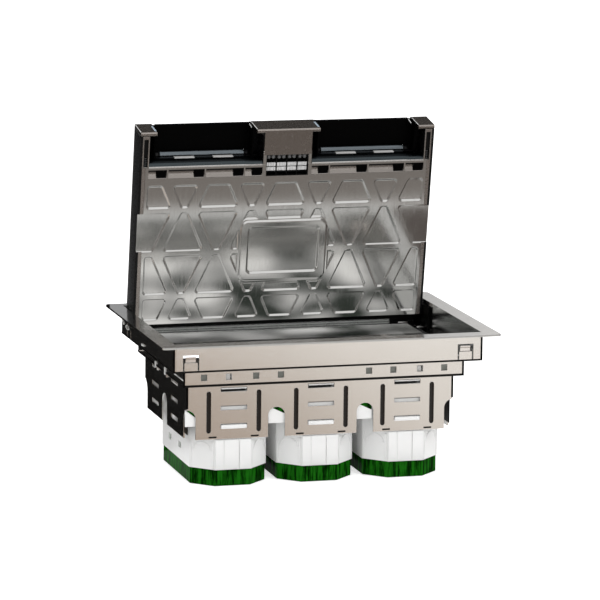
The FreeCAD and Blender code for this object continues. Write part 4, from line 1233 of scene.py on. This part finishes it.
def build_cup_latches(middle):
    """White latches of a cup that stand through the tongues' slots."""
    made = bmesh.new()
    for face, out in TONGUE_FACES:
        for depth, high, proud in ((71.8, 3.2, 1.3), (41.0, 1.2, 0.7)):
            near, far = sorted((face - 1.1 * out, face + proud * out))
            add_block(made, (middle - LATCH_HALF, near, level(depth + high / 2)),
                      (middle + LATCH_HALF, far, level(depth - high / 2)), 0.5)
    return finished_mesh("cup_latches", made, HOUSING)


def add_strip(made, origin, across, up, points, thick):
    """A flat raised pad on a wall: an outline in the wall's plane, with a rounded top."""
    out = across.cross(up).normalized()
    middle = sum((Vector(p) for p in points), Vector((0, 0))) / len(points)
    rings = []
    for inset, lift in ((0.0, 0.0), (0.0, thick * 0.6), (0.22, thick)):
        spots = [Vector(p) + (middle - Vector(p)).normalized() * inset for p in points]
        rings.append([made.verts.new(origin + across * spot.x + up * spot.y + out * lift)
                      for spot in spots])
    join_rings(made, rings)
    made.faces.new(rings[-1])


def build_cup_ribs(middle):
    """Raised pads and arches on the front and rear of a cup's white sleeve."""
    made = bmesh.new()
    up = Vector((0, 0, 1))
    foot = level(SLEEVE_FOOT)
    for way, face, corner in ((-1, -62.45, -61.6), (1, 60.35, 60.4)):
        across = Vector((-way, 0, 0))
        for left, right in ((-14.6, -8.4), (-7.3, 4.1), (5.2, 14.6)):
            add_strip(made, Vector((middle, face, 0)), across, up,
                      [(left, foot), (right, foot), (right, level(PAD_HEAD)),
                       (left, level(PAD_HEAD))], 0.5)
        for side in (-1, 1):
            start = Vector((middle + side * CORNER_NEAR, corner, 0))
            end = Vector((middle + side * CORNER_FAR,
                          corner - way * (CORNER_FAR - CORNER_NEAR), 0))
            run = end - start
            long = run.length
            run.normalize()
            if run.cross(up).dot(Vector((side, way, 0))) < 0:
                run = -run
                start = end
            for left, right in ((0.7, 2.2), (long - 2.4, long - 0.8)):
                add_strip(made, start, run, up,
                          [(left, foot), (right, foot), (right, level(CORNER_HEAD)),
                           (left, level(CORNER_HEAD))], 0.45)
            outer, inner = [[(long / 2 + wide * math.cos(math.pi * i / 12),
                              level(ARCH_LEVEL) + tall * math.sin(math.pi * i / 12))
                             for i in range(13)] for wide, tall in ((8.4, 7.4), (7.2, 6.3))]
            for i in range(12):
                add_strip(made, start, run, up,
                          [outer[i], outer[i + 1], inner[i + 1], inner[i]], 0.4)
    return finished_mesh("cup_ribs", made, HOUSING, 50)


def build_rear_bar(name, proud, foot, tall):
    """A long bar under the hinge shroud: the steel ledge, or the bright rim on it, which is a
    painted highlight.
    """
    made = bmesh.new()
    y, z = SHROUD_LOW[1], SHROUD_LOW[2] + foot
    add_block(made, (-LEDGE_HALF, y - proud, z), (LEDGE_HALF, y, z + tall), 0.1, 1)
    return finished_mesh(name, made, HOUSING)


def build_corner_blinds():
    """Black covers of painted shade over the rear corners of the skirt, inside."""
    made = bmesh.new()
    for side in (-1, 1):
        left, right = mirrored(side, LEDGE_HALF + 0.2, 124.7)
        add_block(made, (left, SHROUD_LOW[1] - 0.1, SHROUD_LOW[2]),
                  (right, SHROUD_HIGH[1], SHROUD_HIGH[2]), 0.2, 1)
    return finished_mesh("corner_blinds", made, HOUSING)


def build_hole_backs(bright):
    """Grey pads behind the square holes of the frame's front wall, or, when bright, pads of
    painted light behind one pair of them.
    """
    made = bmesh.new()
    for x in (LIT_HOLE,) if bright else HOLE_PLACES:
        for side in (-1, 1):
            add_block(made, (x * side - HOLE_HALF, -73.2, level(32.4)),
                      (x * side + HOLE_HALF - bright, -72.4, level(26.9 + 0.8 * bright)), 0.1,
                      1)
    return finished_mesh("hole_backs", made, HOUSING)


def build_side_clip_glints():
    """Painted highlights: bright blocks and a ring where the clips and studs on the left and
    right outer walls catch the light.
    """
    made = bmesh.new()
    for side in (-1, 1):
        for face, spans in ((SKIRT_HALF, ((84.5, 87.5, 10.5, 13.0), (82.0, 84.0, 12.5, 14.5),
                                          (10.5, 14.0, 18.0, 19.5), (15.5, 19.0, 18.2, 20.0))),
                            (STEP_HALF, ((15.8, 19.2, 33.0, 38.0), (8.5, 11.5, 37.2, 38.6),
                                         (-16.0, -12.4, 32.0, 38.0)))):
            left, right = mirrored(side, face, face + 0.7)
            for near, far, high, low in spans:
                add_block(made, (left, near, level(low)), (right, far, level(high)), 0.2, 1)
        ring = [Vector(((SKIRT_HALF + 0.2) * side, 69.5 + 5.2 * math.cos(a),
                        level(14.5) + 1.6 * math.sin(a)))
                for a in [math.tau * k / 16 for k in range(17)]]
        add_tube(made, ring, 0.35)
    return finished_mesh("side_clip_glints", made, HOUSING)


def build_arch_fills(name, front, rear, left_share, top, foot, drop):
    """Wedges behind the arches, whose tops fall away to the right by a drop."""
    made = bmesh.new()
    places = [(x, y, 7.0) for y in (front, rear) for x in ARCH_PLACES]
    for middle, face, reach in places + [(LEFT_ARCH, front, 4.2)]:
        left, right = middle - reach * left_share, middle + reach
        points = [(left, level(top)), (right, level(top) - drop), (right, level(foot)),
                  (left, level(foot))]
        rings = [[made.verts.new((x, y, z)) for x, z in points] for y in (face, face + 0.9)]
        join_rings(made, rings)
        close_ends(made, rings)
    return finished_mesh(name, made, HOUSING)


def build_corner_shades():
    """Painted shade and painted dark reflection: black strips at the bends of the front corners,
    black linings of the side walls, and a black strip on the carrier's inner side.
    """
    made = bmesh.new()
    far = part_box("socket_carrier")[1][0] / MM
    for side in (-1, 1):
        for half, face, high, low in ((SKIRT_HALF, SKIRT_FRONT, 2.0, SKIRT_FOOT),
                                      (STEP_HALF, STEP_FRONT, 24.3, STEP_FOOT),
                                      (far, CARRIER_FRONT, 38.5, 56.5)):
            left, right = mirrored(side, half - 0.9, half + 0.15)
            add_block(made, (left, face - 0.15, level(low)), (right, face + 1.0, level(high)),
                      0.1, 1)
        left, right = mirrored(side, 122.9, 124.9)
        add_block(made, (left, 48.0, level(21.5)), (right, 89.0, level(4.0)), 0.3)
        left, right = mirrored(side, far - 1.9, far - 1.3)
        add_block(made, (left, -60.0, level(78.0)), (right, -47.0, level(50.0)), 0.1, 1)
    return finished_mesh("corner_shades", made, HOUSING)


class FLOORBOX_OT_housing(bpy.types.Operator):
    """Trim frame, tiers and carrier with their beads, with painted shade along the tiers' edges
    and painted highlights on the clips
    """
    bl_idname = "floorbox.housing"
    bl_label = "Housing"

    def execute(self, context):
        for node in ("trim_frame", "mounting_frame", "socket_carrier"):
            dress(node, "steel")
        dress("carrier_deck", "deck")
        for node in ("skirt_clips", "carrier_clips", "left_hinge_ear", "right_hinge_ear",
                     "left_hinge_pin", "right_hinge_pin"):
            dress(node, "spring")
        dress("lid_seal", "rubber")
        # The hinge shroud is dressed in the painted-shade black
        dress("hinge_shroud", "shadow")
        # Black strips of painted shade along the tiers' lower edges
        place_mesh("tier_edge_shades", build_tier_edge_shades(), "shadow", "floor_box")
        place_mesh("tongue_beads", build_beads(), "bead", "floor_box")
        # Pads of painted shade in place of the tongues' foot slots
        place_mesh("foot_slot_shades", build_foot_slot_shades(), "shadow", "floor_box")
        ledge = build_rear_bar("rear_ledge", proud=0.9, foot=0.0, tall=1.9)
        place_mesh("rear_ledge", ledge, "ledge", "floor_box")
        # The rim is a bright strip of painted highlight along the ledge's edge
        rim = build_rear_bar("ledge_rim_highlight", proud=1.3, foot=1.7, tall=0.6)
        place_mesh("ledge_rim_highlight", rim, "glint", "floor_box")
        # The corner shades take the flaps' black as painted shade
        place_mesh("corner_shades", build_corner_shades(), "flap", "floor_box")
        place_mesh("corner_blinds", build_corner_blinds(), "shadow", "floor_box")
        place_mesh("hole_backs", build_hole_backs(False), "hole", "floor_box")
        # Bright pads of painted light behind the lit holes
        place_mesh("hole_lights", build_hole_backs(True), "glint", "floor_box")
        # Painted highlights on the clips and studs of the outer walls
        place_mesh("side_clip_glints", build_side_clip_glints(), "glint", "floor_box")
        return {"FINISHED"}


class FLOORBOX_OT_cups(bpy.types.Operator):
    """Cups with their sleeves, ribs and latches, and what stands in them"""
    bl_idname = "floorbox.cups"
    bl_label = "Cups and Sockets"

    def execute(self, context):
        for side, middle in zip(("left", "centre", "right"), CUPS):
            dress(side + "_cup", "green")
            dress(side + "_cup_sleeve", "white")
            dress(side + "_module_holder", "shell")
            for row in ("front", "rear"):
                dress("%s_%s_socket" % (side, row), "socket")
            place_mesh(side + "_cup_latches", build_cup_latches(middle), "white", "floor_box")
            place_mesh(side + "_cup_ribs", build_cup_ribs(middle), "white", "floor_box")
        shoulders = build_arch_fills("arch_shoulders", front=-61.9, rear=76.9, left_share=1.0,
                                     top=57.4, foot=71.0, drop=6.5)
        place_mesh("arch_shoulders", shoulders, "white", "floor_box")
        corners = build_arch_fills("arch_greens", front=-61.2, rear=76.2, left_share=0.4,
                                   top=57.0, foot=66.0, drop=0.5)
        place_mesh("arch_greens", corners, "green", "floor_box")
        dress("earth_contacts", "brass")
        return {"FINISHED"}


class FLOORBOX_OT_lid(bpy.types.Operator):
    """Cover, shell, flaps, caps and grip of the lid"""
    bl_idname = "floorbox.lid"
    bl_label = "Lid"

    def execute(self, context):
        dress("lid_cover", "steel_top")
        dress("lid_shell", "shell")
        for node in ("left_cable_flap", "right_cable_flap"):
            dress(node, "flap")
        for node in ("left_corner_cap", "right_corner_cap", "lid_grip"):
            dress(node, "bronze")
        return {"FINISHED"}


class FLOORBOX_PT_panel(bpy.types.Panel):
    """Lists the steps that build the look"""
    bl_idname = "FLOORBOX_PT_panel"
    bl_label = "Floor Box"
    bl_space_type = "VIEW_3D"
    bl_region_type = "UI"
    bl_category = "Floor Box"

    def draw(self, context):
        column = self.layout.column()
        for step in STEPS:
            column.operator(step.bl_idname)
        for group in (context.scene.floor_box_sizes, context.scene.floor_box_colours):
            for name in group.__annotations__:
                column.prop(group, name)


STEPS = (FLOORBOX_OT_stage, FLOORBOX_OT_housing, FLOORBOX_OT_cups, FLOORBOX_OT_lid,
         FLOORBOX_OT_plate, FLOORBOX_OT_lid_fittings)
CLASSES = (FloorBoxSizes, FloorBoxColours) + STEPS + (FLOORBOX_PT_panel,)


def register():
    """Register the classes and their settings."""
    for part in CLASSES:
        bpy.utils.register_class(part)
    bpy.types.Scene.floor_box_sizes = bpy.props.PointerProperty(type=FloorBoxSizes)
    bpy.types.Scene.floor_box_colours = bpy.props.PointerProperty(type=FloorBoxColours)


def unregister():
    """Remove the settings and the classes."""
    del bpy.types.Scene.floor_box_colours
    del bpy.types.Scene.floor_box_sizes
    for part in reversed(CLASSES):
        bpy.utils.unregister_class(part)


def main():
    """Build everything."""
    register()
    bpy.ops.floorbox.stage()
    bpy.ops.floorbox.housing()
    bpy.ops.floorbox.cups()
    bpy.ops.floorbox.lid()
    bpy.ops.floorbox.plate()
    bpy.ops.floorbox.lid_fittings()


if __name__ == "__main__":
    main()
